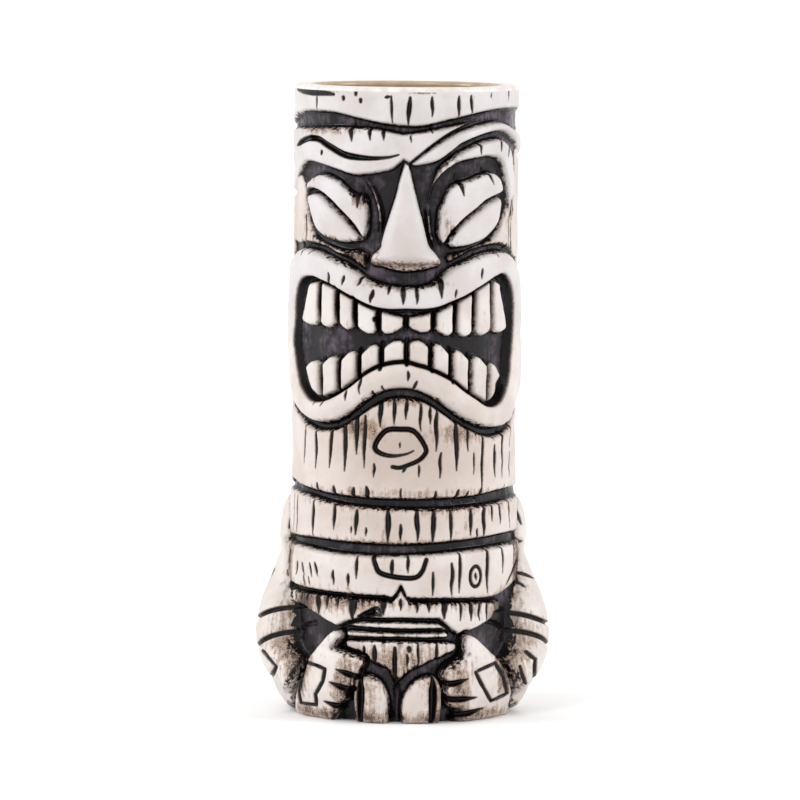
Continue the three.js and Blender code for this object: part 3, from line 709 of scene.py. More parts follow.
find_limbs()
sculpt_bands()
sculpt_face()
sculpt_mouth()
sculpt_chin()
sculpt_back("back_of_head", 65.8, 167.6, ("brow_left", "brow_right", "upper_lip", "lower_lip"))
sculpt_belly()
sculpt_back("back_lower", -5, 34.2, ("belly",))
sculpt_limbs()

# ---- Carved lines ----

# How far outside every member each grid point is, and how far inside a carved line.
ink = -np.max(np.stack(list(members.values())), axis=0).astype(float)
line = np.full(ink.shape, -3.0)

STROKE_REACH = 2.5  # mm round a line that its cut or ridge can touch
STEPS_PER_SPAN = 5
EDGE_ON = -0.25  # cuts seen from the front run this far past the edge of the mug


def stroke(points, seen_from_front=False):
    """The grid points near a line, how far each is from it, and how far along it, from 0 to 1."""
    if seen_from_front:
        course = smooth_line(points, STEPS_PER_SPAN)
        low, high = course.min(0) - STROKE_REACH, course.max(0) + STROKE_REACH
        where, x, z = front_window(relief, low, high, turned=EDGE_ON)
    else:
        course = smooth_line(on_surface(points), STEPS_PER_SPAN)
        where, x, z = grid.window(course.min(0), course.max(0), margin=STROKE_REACH)
    return where, *segment_distance(x, z, course)


def carve(points, width, depth=0.8, ends=(0.5, 0.15), seen_from_front=False):
    """Cuts a line of that width. ends are the shares of the width left at its start and its end."""
    where, distance, along = stroke(points, seen_from_front)
    fade_in = np.minimum(along / 0.25, 1) * (1 - ends[0]) + ends[0]
    fade_out = np.minimum((1 - along) / 0.45, 1) * (1 - ends[1]) + ends[1]
    fade = np.minimum(fade_in, fade_out)
    half = width / 2 * fade
    relief[where] -= depth * fade * (1 - smoothstep(0.2, 1.25, distance / half))
    line[where] = np.maximum(line[where], half * 0.95 - distance)


def ridge(points, width, height):
    """Raises a thin rounded ridge out of a groove floor, with its crest wiped half clean."""
    where, distance, along = stroke(points)
    fade = np.clip(np.minimum(along, 1 - along) / 0.25, 0.15, 1)
    relief[where] += height * fade * (1 - smoothstep(0, 1, distance / width))
    crest = fade * (1 - smoothstep(0.15, 0.75, distance / width))
    ink[where] = ink[where] * (1 - crest) - 0.12 * crest


def dab(angle, z, half_angle, half_height, amount, field=smudge_and_shade):
    """A soft patch where the stain was wiped less clean, also used for painted shade, or a patch of another
    stain field.
    """
    turn = (grid.angle - angle + 180) % 360 - 180
    spread = (turn[None, :] / half_angle) ** 2 + ((grid.z[:, None] - z) / half_height) ** 2
    field[...] += amount * np.exp(-spread)


def nick(angle, top, bottom, width=0.9, lean=0.0):
    """A short upright cut that starts blunt and runs out to a point. lean is how many degrees it drifts."""
    wobble = rng.normal(0, 0.22, 2)
    points = [
        (angle, top), (angle + lean * 0.35 + wobble[0], top + (bottom - top) * 0.35),
        (angle + lean * 0.7 + wobble[1], top + (bottom - top) * 0.7), (angle + lean, bottom),
    ]
    carve(points, width, depth=0.9)


def pit(angle, z):
    """A small round hole."""
    carve([(angle, z + 0.3), (angle, z - 0.3)], width=0.9, depth=0.6, ends=(1, 0.9))


def nicks(rows):
    for angle, top, bottom, width, *lean in rows:
        nick(angle, top, bottom, width * NICK_SHARE, *lean)


NICK_SHARE = 0.9  # of the width in the tables below, which is that of the stain and not of the cut
FACE_NICKS = [  # angle, top, bottom, width and, unless it is upright, lean
    (-53.1, 176.9, 173.3, 0.6, 0.6), (-7.9, 177.6, 170, 0.7, 0.8), (1.6, 177.2, 169.6, 1.4, -0.8),
    (12.8, 177.3, 171.9, 1.0), (27.4, 177.5, 171.5, 1.0), (34.5, 177.7, 172.3, 0.9, 0.6),
    (48.2, 178.3, 176.9, 0.4), (64.5, 180, 175.9, 0.4), (-29.6, 170, 164.7, 1.6, 0.6),
    (-18.5, 169.4, 165.1, 1.1), (-11.5, 169, 165.2, 1.1), (2.3, 166.6, 164.6, 0.4),
    (12.8, 169.6, 167.2, 0.8, 0.6), (-24.2, 151.9, 146, 1.5, -0.8), (-65, 142.9, 134.5, 0.8),
    (28.5, 156.3, 149.6, 1.5, 1.4), (46.2, 157.5, 152.5, 0.9, 3), (40.8, 164.8, 161, 0.8, 0.4),
    (56.8, 164.9, 161.7, 0.7, -0.8), (64.3, 163, 160.1, 0.7, -1), (68.2, 147.7, 133.9, 0.5),
    (71.8, 145, 141.9, 0.4), (-40, 127.3, 123.5, 0.8, -1), (-30.8, 126.7, 124.2, 0.8, -1),
    (-21.4, 126.8, 124.2, 0.8, -2), (-15.5, 122.9, 119.5, 1.2, -1.4),
    (-7.6, 125.7, 121.9, 1.0, -0.6), (-1, 124.7, 119.2, 1.5), (5.6, 124.1, 119.3, 1.0),
    (17.1, 127.8, 120.9, 1.5, 0.4), (25, 123.1, 120.9, 0.6), (40, 128.8, 126, 0.7),
    (39.4, 133.6, 131.6, 0.5), (51.2, 134.4, 132, 0.5, 0.4), (-29.6, 94.2, 91.5, 0.7),
    (-22.1, 98.8, 93.6, 0.8), (-15.8, 94.4, 92.5, 0.7, 0.4), (1.6, 100.2, 97.6, 0.8),
    (6, 97.4, 94.4, 0.8, -2), (-10.9, 96, 94.4, 0.5), (-51.2, 91.5, 89.5, 0.5),
    (-44.3, 91.3, 89.3, 0.5, -1),
]
CHIN_NICKS = [
    (-61.2, 83.4, 72.3, 0.6, -2), (-51.8, 82, 71.3, 1.1), (-39.4, 84.6, 71.9, 1.3, -2),
    (-31.5, 86.5, 71.3, 1.5), (-24.2, 88.5, 76.3, 1.5, -0.6), (-20, 87.3, 72.5, 1.1, -0.6),
    (-11.8, 92.3, 84.3, 1.5, -0.4), (-5.1, 92.3, 85.1, 1.1), (1.4, 92.1, 86.6, 1.1, -0.6),
    (8.5, 90.9, 83.3, 0.9), (13.4, 89.9, 85.2, 0.9), (17.1, 88.9, 77.5, 1.3, -0.6),
    (19.2, 76.9, 69.8, 0.9, -0.6), (27.5, 85.9, 71.7, 1.6, 0.4), (34.4, 85.3, 77.1, 0.9),
    (38.1, 76.5, 70.5, 0.5), (44.7, 82.4, 65.2, 1.1, -1), (54.1, 78.2, 69.1, 1.1, 0.4),
    (61.2, 84.5, 68.7, 0.9), (70.9, 84.6, 77, 0.6), (71.3, 75.5, 68.5, 0.5),
    (-15.4, 73.7, 70, 0.8), (7.7, 73.4, 70.2, 0.6), (-2, 79.8, 78.4, 0.4),
]
GROOVE_TICKS = [
    (-50.4, 67.1, 63, 1.0, 1.6), (-38.2, 66.6, 62.6, 1.2, 1.6), (-26.2, 66.6, 62.6, 1.3),
    (-19.2, 67, 62.6, 1.5, 0.4), (-1.3, 66.8, 62.8, 0.5), (16.5, 66, 61.6, 0.9, -1.4),
    (29, 66.2, 62.2, 1.1, -2), (34.9, 65.6, 62.2, 0.7, -1.4), (43.4, 66.2, 62.4, 1.1, -1.6),
    (64.5, 66.2, 63.6, 0.5, -1.6),
]
NECK_NICKS = [
    (-73.5, 62.8, 52.3, 0.5), (-67.9, 62.8, 52.1, 0.6), (-52.1, 62.1, 51.7, 1.1),
    (-36.7, 61.6, 54.6, 1.1), (-23.7, 60.4, 53.5, 1.3, -0.6), (-18.8, 55.5, 53.3, 0.6),
    (-26.7, 55.7, 53.9, 0.4), (-7.7, 60.8, 51.7, 1.7), (-1.3, 56.7, 52.1, 0.9),
    (6.8, 61.1, 52.2, 1.5, 0.4), (15.1, 61, 51.3, 1.5, -0.4), (23.9, 60.8, 51.9, 1.1, 0.4),
    (35.7, 60.6, 53.1, 1.3), (40, 54.9, 52.1, 0.6), (44.5, 61.4, 52.5, 1.5),
    (50.6, 61.7, 56.7, 0.9), (57.3, 62, 55.6, 0.9), (67.9, 62.2, 54, 0.7), (82, 54.7, 51.7, 0.7),
]
COLLAR_NICKS = [
    (-63.6, 44, 40.1, 0.8, -2), (-59.3, 43.9, 40.5, 0.8, 2.4), (-52.5, 44.2, 40.5, 0.8, 2.4),
    (-48, 44.6, 40.9, 0.8, 2.4), (-57.9, 40.3, 37.5, 0.5, 1), (-53.1, 40.3, 37.9, 0.4, 1),
    (-36, 42.9, 38.9, 0.8), (-27.5, 42.2, 38.6, 0.9), (-23, 47.1, 41.1, 0.9),
    (-5.1, 46.6, 42, 1.1), (2.5, 47.8, 43.2, 0.9), (14.7, 43.2, 36.6, 0.8),
    (24.2, 45.6, 36.4, 1.1, 0.6), (28.6, 48.4, 37.1, 0.9), (46, 49.4, 36.5, 1.2),
    (57.8, 49.7, 41.5, 0.8), (70.1, 49.6, 43.2, 0.7),
]
BELLY_NICKS = [
    (-70.1, 35.5, 32.2, 0.8), (-62.4, 36, 31.8, 1.1), (-56.3, 36.4, 32.2, 1.1),
    (-47.2, 36.4, 30, 2.2), (-41.4, 36.4, 31.6, 1.1), (-34.3, 36.4, 32.2, 1.1),
    (-25.7, 36.5, 29.2, 2.6, -0.4), (-20.5, 36.1, 33.3, 0.7), (-17, 36.2, 33.5, 0.7),
    (-9.6, 36.3, 31, 1.8), (-0.9, 35.5, 32.4, 0.9), (7.2, 35.5, 31.8, 1.0),
    (13.3, 35.5, 31.8, 1.1), (21.5, 35.5, 29.8, 1.9), (30.1, 34.9, 29, 0.8),
    (36.8, 34.9, 28.8, 1.5), (42.7, 34.5, 28.6, 0.9), (47.8, 34.3, 28.4, 0.8),
    (-19.6, 21.7, 18.9, 0.9), (-14.1, 21.9, 15.9, 1.5), (2.5, 19.7, 16.3, 0.8),
    (8, 23.1, 15.8, 0.7), (17.8, 22.9, 15.9, 0.9),
]
CHIN_SPIRAL = [
    (4.9, 77.6), (0.6, 76.6), (-6.2, 76.1), (-12.2, 76.8), (-15, 78.3), (-13.2, 80.9),
    (-8.6, 83.4), (-1.8, 83.7), (4.1, 83.4), (8.1, 81.3), (11.1, 78.4), (11.1, 76.9), (8, 75),
    (2.9, 73.7), (-2.1, 72.8), (-5.7, 73),
]
COLLAR_HANDLE = [
    (-14.8, 47.8), (-13.4, 45.2), (-11.1, 43), (-3.4, 41.9), (5.3, 41.7), (9.1, 43.3),
    (11.5, 46.8),
]


LEFT_BROW_CREASE = [
    (-58.9, 165), (-51.2, 164.8), (-43.4, 163), (-32.6, 160.7), (-19.8, 160), (-9.9, 160.3), (-4, 161.1),
]


def carve_face():
    nicks(FACE_NICKS)
    carve(LEFT_BROW_CREASE, width=1.8, depth=1.7, ends=(0.9, 0.2))
    carve([(-76.8, 162.4), (-68.2, 163.9), (-57, 165.2)], width=1.6, depth=1.4, ends=(0.1, 0.9))
    for angle, z in ((-34.2, 176.7), (-24.1, 176.1), (-48.6, 161.1), (-15.8, 114.6), (-26.7, 178.1)):
        pit(angle, z)
    carve([(-10.9, 177.2), (-8.3, 177.5)], width=0.8, depth=0.6)
    carve([(-76, 178.9), (-64, 178.5), (-52, 178.1), (-40, 177.7)], width=2.4, depth=0.4, ends=(0.7, 0.3))
    for angle in (-70, -63, -56, 66, 72):
        nick(angle, 135.5 + rng.uniform(-1, 1), 132.5 + rng.uniform(-1, 1), 0.5)
    ridge([(-24, 154.6), (-19, 152), (-16, 149), (-13.6, 143.5), (-13.9, 137.6)], width=1.3, height=1.9)
    ridge([(11.6, 147), (11.9, 143), (13.2, 138.4), (16.4, 134.6)], width=1.1, height=1.7)
    for angle, z in ((70, 149), (71, 141)):
        carve([(angle, z), (angle + 0.4, z - 7)], width=0.5, depth=0.5, ends=(0.4, 0.2))


# Where the stain was wiped less clean, with some patches of painted shade: angle, height, half angle, half
# height and amount.
# The patch at angle 0, height 130.4 is a painted shadow under the tip of the nose.
SMUDGES_AND_SHADE = (
    (-50, 178.6, 16, 0.8, 1.2), (8, 178.5, 10, 0.5, 1.3), (34, 177.6, 4, 1.2, 0.7), (-78, 171, 10, 4, 0.6),
    (-45, 167.4, 22, 1.6, 0.8), (-60, 155, 9, 2.2, 1.0), (-25, 149, 5, 3.5, 1.3), (-66, 140, 5, 5, 0.5),
    (-21, 134.2, 9, 2.6, 0.9), (-32, 131.5, 9, 2.2, 1.1), (29, 133, 9, 2.4, 1.0), (38, 158, 16, 2.4, 0.8),
    (22, 141, 4, 5, 0.9), (-45, 137, 14, 1.6, 0.9), (56, 134, 8, 2, 0.8), (68, 140, 7, 7, 0.5),
    (0, 130.4, 18, 1.5, 1.3), (0, 124.6, 26, 1.5, 0.9), (-36, 84, 26, 2.0, 0.7), (30, 82, 24, 3.6, 0.85),
    (-2, 92, 18, 1.8, 0.8), (-20, 82, 8, 8, 0.5), (0, 65.8, 80, 2.0, 0.6), (0, 61.5, 70, 1.6, 0.6),
    (-20, 55, 24, 3.5, 0.35), (30, 56, 16, 4, 0.35), (-10, 50.6, 60, 1.6, 0.8), (-30, 40, 30, 6, 0.3),
    (-40, 33, 20, 3, 0.6), (36, 32, 16, 3, 0.5), (0, 34.6, 50, 1.8, 0.6), (0, 18, 30, 6, 0.75),
)
PAIRED_SMUDGES_AND_SHADE = (  # on the viewer's right, and mirrored on the left
    # The first two are painted shade along the arm's inner edge, where it meets the collar and the belly.
    (75, 44, 6, 8, 1.5), (59, 33, 7, 5, 1.1), (64, 20, 14, 10, 0.85), (54, 14, 7, 8, 1.0),
    (28, 9, 6, 8, 1.0), (15, 6, 5, 7, 0.5), (40, 1.5, 40, 2.2, 1.1),
)
# Browner patches down the front middle of the face and body; those on the nose and chin are partly painted
# shade, darker in the middle than at the sides.
BROWNING_AND_SHADE_PATCHES = (
    (0, 78, 40, 13, 0.8), (-8, 57, 36, 6, 0.45), (10, 41, 40, 5, 0.25), (0, 136, 16, 9, 0.3),
    (0, 98, 40, 4, 0.3),
)


def smudge_and_shade_all():
    for patch in SMUDGES_AND_SHADE:
        dab(*patch)
    for angle, *patch in PAIRED_SMUDGES_AND_SHADE:
        dab(-angle, *patch)
        dab(angle, *patch)
    for patch in BROWNING_AND_SHADE_PATCHES:
        dab(*patch, field=browning_and_shade)


def carve_teeth():
    """Cuts the gaps between the teeth, with their widths at the gum and at the bite, and round the mouth."""
    rows = (
        (UPPER_SIDES, UPPER_BITE, UPPER_GUM, (1.8, 1.2)),
        (LOWER_SIDES, LOWER_BITE, LOWER_GUM, (1.1, 1.5)),
    )
    for sides, bite, gum, widths in rows:
        widest = max(widths)
        ends = (widths[0] / widest, widths[1] / widest)
        for angle, low, high in list(zip(sides, bite, gum))[1:-1]:
            gap = [(angle, high), (angle - 0.2, (low + high) / 2), (angle, low)]
            carve(gap, widest, depth=1.1, ends=ends)
    carve([*MOUTH, MOUTH[0]], width=1.1, depth=0.8, ends=(1, 1))


def carve_body():
    nicks(CHIN_NICKS + GROOVE_TICKS + NECK_NICKS + COLLAR_NICKS + BELLY_NICKS)
    carve(CHIN_SPIRAL, width=1.45, depth=1.2, ends=(0.2, 0.7))
    carve([(0.6, 72.9), (-0.4, 71.5)], width=1.0, depth=0.8)
    carve(COLLAR_HANDLE, width=1.4, depth=1.1, ends=(0.8, 0.8))
    carve([(86, 49), (75.2, 44), (62.7, 37.9)], width=1.5, depth=1.2, ends=(0.3, 0.2))
    carve([(-22.7, 30.2), (-17.8, 31.4), (-12.6, 32.8), (-10.3, 30.6)], width=1.4, depth=1.2)
    carve([(-20.7, 30.4), (-14.8, 31.2), (-10.9, 30.6)], width=2.2, depth=1.6)
    carve([(-3.7, 21.5), (-3.7, 15.8), (-3.7, 9.4)], width=1.3, depth=1.2, ends=(0.7, 0.8))
    carve([(3.4, 21.5), (3.6, 20.9)], width=1.3, depth=0.7, ends=(1, 0.9))
    carve([(-2.6, 12.8), (-2.6, 5.9), (-2.8, 0.1)], width=2.2, depth=1.0, ends=(0.6, 0.9))
    knot = [(37.9 + 3.4 * math.cos(t), 41.5 + 2.9 * math.sin(t)) for t in np.linspace(0, 2 * math.pi, 13)]
    carve(knot, width=0.9, depth=0.9, ends=(1, 0.9))
    carve([(37.5, 42.4), (38.1, 40.5)], width=0.8, depth=0.6)
    for slit in FOOT_SLITS:
        carve([(slit, 13), (slit, 7), (slit - 0.4, 1)], width=2.4, depth=2.4, ends=(0.4, 0.7))


BOX_LEFT = [
    (-27.3, 16.3), (-24.3, 15.8), (-21.9, 15), (-22.5, 11.4), (-24.5, 7.4), (-24.3, 4.1), (-28.9, 3.8),
    (-29.4, 7.4), (-28.5, 11.8), (-27.3, 16.1),
]
BOX_RIGHT = [(21.9, 15), (26.3, 16.7), (29.1, 12.2), (30.1, 7.1), (25.7, 5.5), (23.3, 10), (21, 14.6)]
ARM_TATTOOS = (
    [(-39.8, 17.2), (-36.1, 13.5), (-38.1, 9.2)], [(35.4, 18.2), (38.3, 15.8), (37.8, 9.3)],
    [(34, 14.4), (35.4, 9.3)],
)
ARM_RINGS = (
    [(-57, 30.8), (-66, 31.2), (-76, 29.6), (-88, 25.8), (-100, 24.4), (-114, 25)],
    [(-56, 26.6), (-64, 25.6), (-74, 22.6), (-86, 17.8), (-98, 15.6), (-114, 15.6)],
    [(54, 30), (62, 30.6), (72, 29.4), (84, 25.8), (98, 24), (114, 25)],
    [(54, 27.6), (64, 26.2), (76, 23), (88, 18.8), (100, 17), (114, 17)],
)
ARM_CUTS = (
    [(-74, 46.6), (-76, 43.6), (-80, 41.4)], [(-82, 57), (-83, 52.4)], [(-88, 40), (-90, 35)],
    [(78, 44.6), (77, 40), (79, 36.4)], [(79, 40.6), (86, 38.4)], [(84, 58), (85, 54)], [(94, 42), (95, 37)],
)


def carve_polygon(corners, ends):
    """Cuts straight strokes from corner to corner, placed as seen from the front."""
    for a, b in zip(corners[:-1], corners[1:]):
        carve([a, b], width=0.95, depth=0.8, ends=ends, seen_from_front=True)


def carve_limbs():
    for gap in FINGER_GAPS:
        carve(gap, width=1.8, depth=1.9, ends=(1, 0.15), seen_from_front=True)
    carve_polygon(BOX_LEFT, ends=(0.9, 0.8))
    carve_polygon(BOX_RIGHT, ends=(0.9, 0.8))
    for ring in ARM_RINGS:
        carve(ring, width=1.3, depth=1.3, ends=(0.9, 0.7))
    for cut in ARM_CUTS:
        carve(cut, width=0.95, depth=0.8, ends=(0.8, 0.4))
    for tattoo in ARM_TATTOOS:
        carve_polygon(tattoo, ends=(0.9, 0.7))


BACK_SPANS = ((68, 169, 26), (53.6, 62, 15), (38.5, 48.6, 15), (2, 33, 16))  # lowest, highest, how many cuts
BACK_CUTS_FROM = 116
BACK_CUTS_TO = 244
LONG_SPAN = 50  # a span taller than this has grain cuts at random heights


def carve_back():
    """The unseen back carries on the bands' nicks and a few long grain cuts."""
    for low, high, count in BACK_SPANS:
        for k in range(count):
            angle = BACK_CUTS_FROM + (BACK_CUTS_TO - BACK_CUTS_FROM) * (k + rng.uniform(0.2, 0.8)) / count
            angle = angle - 360 if angle > 180 else angle
            if high - low > LONG_SPAN:
                top = rng.uniform(low + 14, high + 1)
                bottom = top - rng.uniform(9, 22)
            else:
                top = high + 0.6
                bottom = top - rng.uniform(0.35, 0.95) * (high - low)
            nick(angle, top, max(bottom, low), rng.uniform(0.7, 1.5), rng.uniform(-0.8, 0.8))


carve_face()
carve_teeth()
carve_body()
carve_limbs()
carve_back()
smudge_and_shade_all()

# ---- Last shape: rounded foot, a little unevenness, no wall thinner than it should be ----

FOOT_ROUND = 1.4  # radius of the rounded bottom edge
THINNEST = 0.35
WAVINESS = 0.12  # how far the surface wanders, and how rough its grain is
GRAIN = 0.035
hollow = 1 - np.sqrt(np.clip(1 - (1 - np.clip(grid.z / FOOT_ROUND, 0, 1)) ** 2, 0, 1))
uneven = blur(rng.normal(0, 1, relief.shape), 2.2)
uneven *= WAVINESS / uneven.std()
rough = blur(rng.normal(0, 1, relief.shape), 0.5)
rough *= GRAIN / rough.std()
relief = blur(relief, 0.2)
# The surface runs smooth into the rim.
calm = 1 - smoothstep(RIM_BASE - 2.5, RIM_BASE - 0.3, grid.z)[:, None]
radius = grid.trunk + relief + (uneven + rough * (relief > -2)) * calm - FOOT_ROUND * hollow[:, None]
radius = np.maximum(radius, PANEL_INNER_RADIUS + THINNEST)

stained = smoothstep(-0.25, 0.25, np.maximum(ink - 0.2, line))
stain = {
    "groove": ink,
    "line": line,
    "halo": blur(stained, 2.2),
    "edge": blur(stained, 0.6),
    "smudge_and_shade": smudge_and_shade,
    "browning_and_shade": np.clip(browning_and_shade, 0, 1),
}


# ---- Which member each cell belongs to ----

names = list(members)


def label_cells():
    """The member whose inside is nearest, for every cell, tidied so that each member is one clean patch."""
    best = np.full((grid.rows - 1, grid.columns), -np.inf)
    label = np.zeros(best.shape, int)
    for index, name in enumerate(names):
        corner = members[name]
        right = np.roll(corner, -1, axis=1)
        cell = (corner[:-1] + corner[1:] + right[:-1] + right[1:]) / 4
        closer = cell > best
        best = np.where(closer, cell, best)
        label = np.where(closer, index, label)
    for _ in range(4):
        label = drop_islands(label)
        label = part_corner_contacts(label)
    return label


def part_corner_contacts(label):
    """Two cells of one member that touch only at a corner are joined through a third cell."""
    for _ in range(30):
        a, b = label[:-1], np.roll(label, -1, axis=1)[:-1]
        c, d = label[1:], np.roll(label, -1, axis=1)[1:]
        falling = (a == d) & (b != a) & (c != a)
        rising = (b == c) & (a != b) & (d != b)
        if not (falling.any() or rising.any()):
            return label
        rows, columns = np.nonzero(falling)
        label[rows + 1, columns] = label[rows, columns]
        rows, columns = np.nonzero(rising)
        label[rows + 1, (columns + 1) % grid.columns] = label[rows, (columns + 1) % grid.columns]
    return label


SMALLEST_PATCH = 900  # cells


def drop_islands(label):
    """Gives the cells of a member's small stray patches to their neighbours."""
    runs, row_runs = [], []
    for i, row in enumerate(label):
        cuts = np.nonzero(row != np.roll(row, 1))[0]
        starts = cuts if len(cuts) else np.array([0])
        ends = np.append(starts[1:], starts[0] + grid.columns)
        row_runs.append(range(len(runs), len(runs) + len(starts)))
        runs += [(i, s, e, row[s]) for s, e in zip(starts, ends)]
    parent = list(range(len(runs)))

    def root(k):
        while parent[k] != k:
            parent[k] = parent[parent[k]]
            k = parent[k]
        return k

    for lower, upper in zip(row_runs[:-1], row_runs[1:]):
        owner = np.empty(grid.columns, int)
        for k in lower:
            owner[np.arange(runs[k][1], runs[k][2]) % grid.columns] = k
        for k in upper:
            for other in set(owner[np.arange(runs[k][1], runs[k][2]) % grid.columns]):
                if runs[other][3] == runs[k][3]:
                    parent[root(k)] = root(other)
    size = {}
    for k, (_, start, end, _) in enumerate(runs):
        size[root(k)] = size.get(root(k), 0) + end - start
    largest = {}
    for k, (*_, kind) in enumerate(runs):
        if size[root(k)] > size.get(largest.get(kind), 0):
            largest[kind] = root(k)
    for k, (i, start, end, kind) in enumerate(runs):
        if root(k) != largest[kind] and size[root(k)] < SMALLEST_PATCH:
            label[i, np.arange(start, end) % grid.columns] = label[i, start - 1]
    return label


# ---- Meshes ----

def surface_points(row, column):
    r = radius[row, column] * MM
    return np.column_stack([r * grid.sin[column], -r * grid.cos[column], grid.z[row] * MM])


def surface_normals():
    """Normals of the whole carved surface, so that no seam shows between members."""
    rows, columns = np.indices(radius.shape)
    points = surface_points(rows.ravel(), columns.ravel()).reshape(*radius.shape, 3)
    across = np.roll(points, -1, axis=1) - np.roll(points, 1, axis=1)
    up = np.gradient(points, axis=0)
    normal = np.cross(across, up)
    return normal / np.linalg.norm(normal, axis=2, keepdims=True)


def back_faces(label_is, corner_index):
    """The flat strips of a member's back, one n-gon for each upright run of its cells."""
    faces = []
    on_edge = [np.nonzero(corner_index[:, j] >= 0)[0] for j in range(grid.columns)]
    for j in np.nonzero(label_is.any(axis=0))[0]:
        column = np.concatenate([[0], label_is[:, j].astype(int), [0]])
        step = np.diff(column)
        k = (j + 1) % grid.columns
        for low, high in zip(np.nonzero(step == 1)[0], np.nonzero(step == -1)[0]):
            left = on_edge[j][(on_edge[j] >= low) & (on_edge[j] <= high)]
            right = on_edge[k][(on_edge[k] >= low) & (on_edge[k] <= high)]
            faces.append([*corner_index[left, j].tolist(), *corner_index[right[::-1], k].tolist()])
    return faces


def numbered(chosen, start):
    """The rows and columns of the chosen grid points, and a grid that numbers them from start on."""
    rows, columns = np.nonzero(chosen)
    number = np.full(chosen.shape, -1)
    number[rows, columns] = start + np.arange(len(rows))
    return rows, columns, number


def side_faces(label_is, outer, inner):
    """The quads between a member's carved outside and its back, all round its edge."""
    padded = np.pad(label_is, ((1, 1), (0, 0)))
    below, above = padded[:-2], padded[2:]
    before, after = np.roll(label_is, 1, axis=1), np.roll(label_is, -1, axis=1)
    faces = []
    for beside, start, end in (
        (below, (0, 0), (0, 1)), (after, (0, 1), (1, 1)), (above, (1, 1), (1, 0)), (before, (1, 0), (0, 0)),
    ):
        i, j = np.nonzero(label_is & ~beside)
        a = (i + start[0], (j + start[1]) % grid.columns)
        b = (i + end[0], (j + end[1]) % grid.columns)
        faces.append(np.column_stack([outer[b], outer[a], inner[a], inner[b]]))
    return np.vstack(faces).tolist()


def member_mesh(name, label_is, normals):
    """One closed solid: the carved outside, the plain back against the cup, and the sides between them."""
    used = np.zeros(radius.shape, int)
    for di in (0, 1):
        for dj in (0, 1):
            used[di:grid.rows - 1 + di] += np.roll(label_is, dj, axis=1)
    rows, columns, outer = numbered(used > 0, 0)
    back_rows, back_columns, inner = numbered((used > 0) & (used < 4), len(rows))
    i, j = np.nonzero(label_is)
    k = (j + 1) % grid.columns
    front = np.column_stack([outer[i, j], outer[i, k], outer[i + 1, k], outer[i + 1, j]])

    back_r = PANEL_INNER_RADIUS * MM
    back_points = np.column_stack([
        back_r * grid.sin[back_columns], -back_r * grid.cos[back_columns], grid.z[back_rows] * MM,
    ])
    points = np.vstack([surface_points(rows, columns), back_points])
    faces = front.tolist() + side_faces(label_is, outer, inner) + back_faces(label_is, inner)
    mesh = bpy.data.meshes.new(name)
    mesh.from_pydata(points.tolist(), [], faces)
    smooth = np.zeros(len(mesh.polygons), bool)
    smooth[:len(front)] = True
    mesh.polygons.foreach_set("use_smooth", smooth)
    corner_normals = np.zeros((len(mesh.loops), 3))
    corner_normals[:4 * len(front)] = normals[rows, columns][front.ravel()]
    mesh.normals_split_custom_set(corner_normals.tolist())
    for key, field in stain.items():
        values = np.zeros(len(points), np.float32)
        values[:len(rows)] = field[rows, columns]
        mesh.attributes.new(key, "FLOAT", "POINT").data.foreach_set("value", values)
    return mesh


def lathe_mesh(name, outline, segments=256):
    """A closed turned piece. Its (r, z) outline, in mm, runs up on the outside and down on the inside."""
    angles = np.linspace(0, 2 * math.pi, segments, endpoint=False)
    points, rings = [], []
    for r, z in outline:
        turned = angles if r > 0 else angles[:1]
        rings.append([len(points) + k % len(turned) for k in range(segments + 1)])
        points += [(r * math.sin(t) * MM, -r * math.cos(t) * MM, z * MM) for t in turned]
    faces = []
    for lower, upper in zip(rings, rings[1:] + rings[:1]):
        for s in range(segments):
            corners = dict.fromkeys([lower[s], lower[s + 1], upper[s + 1], upper[s]])
            if len(corners) > 2:
                faces.append(list(corners))
    mesh = bpy.data.meshes.new(name)
    mesh.from_pydata(points, [], faces)
    mesh.polygons.foreach_set("use_smooth", np.ones(len(faces), bool))
    mesh.set_sharp_from_angle(angle=math.radians(40))
    return mesh


# ---- Materials ----

def colour(red, green, blue):
    """An sRGB colour from 0 to 255 as Blender's linear RGBA."""
    srgb = np.array([red, green, blue]) / 255
    linear = np.where(srgb <= 0.04045, srgb / 12.92, ((srgb + 0.055) / 1.055) ** 2.4)
    return (*linear.tolist(), 1.0)


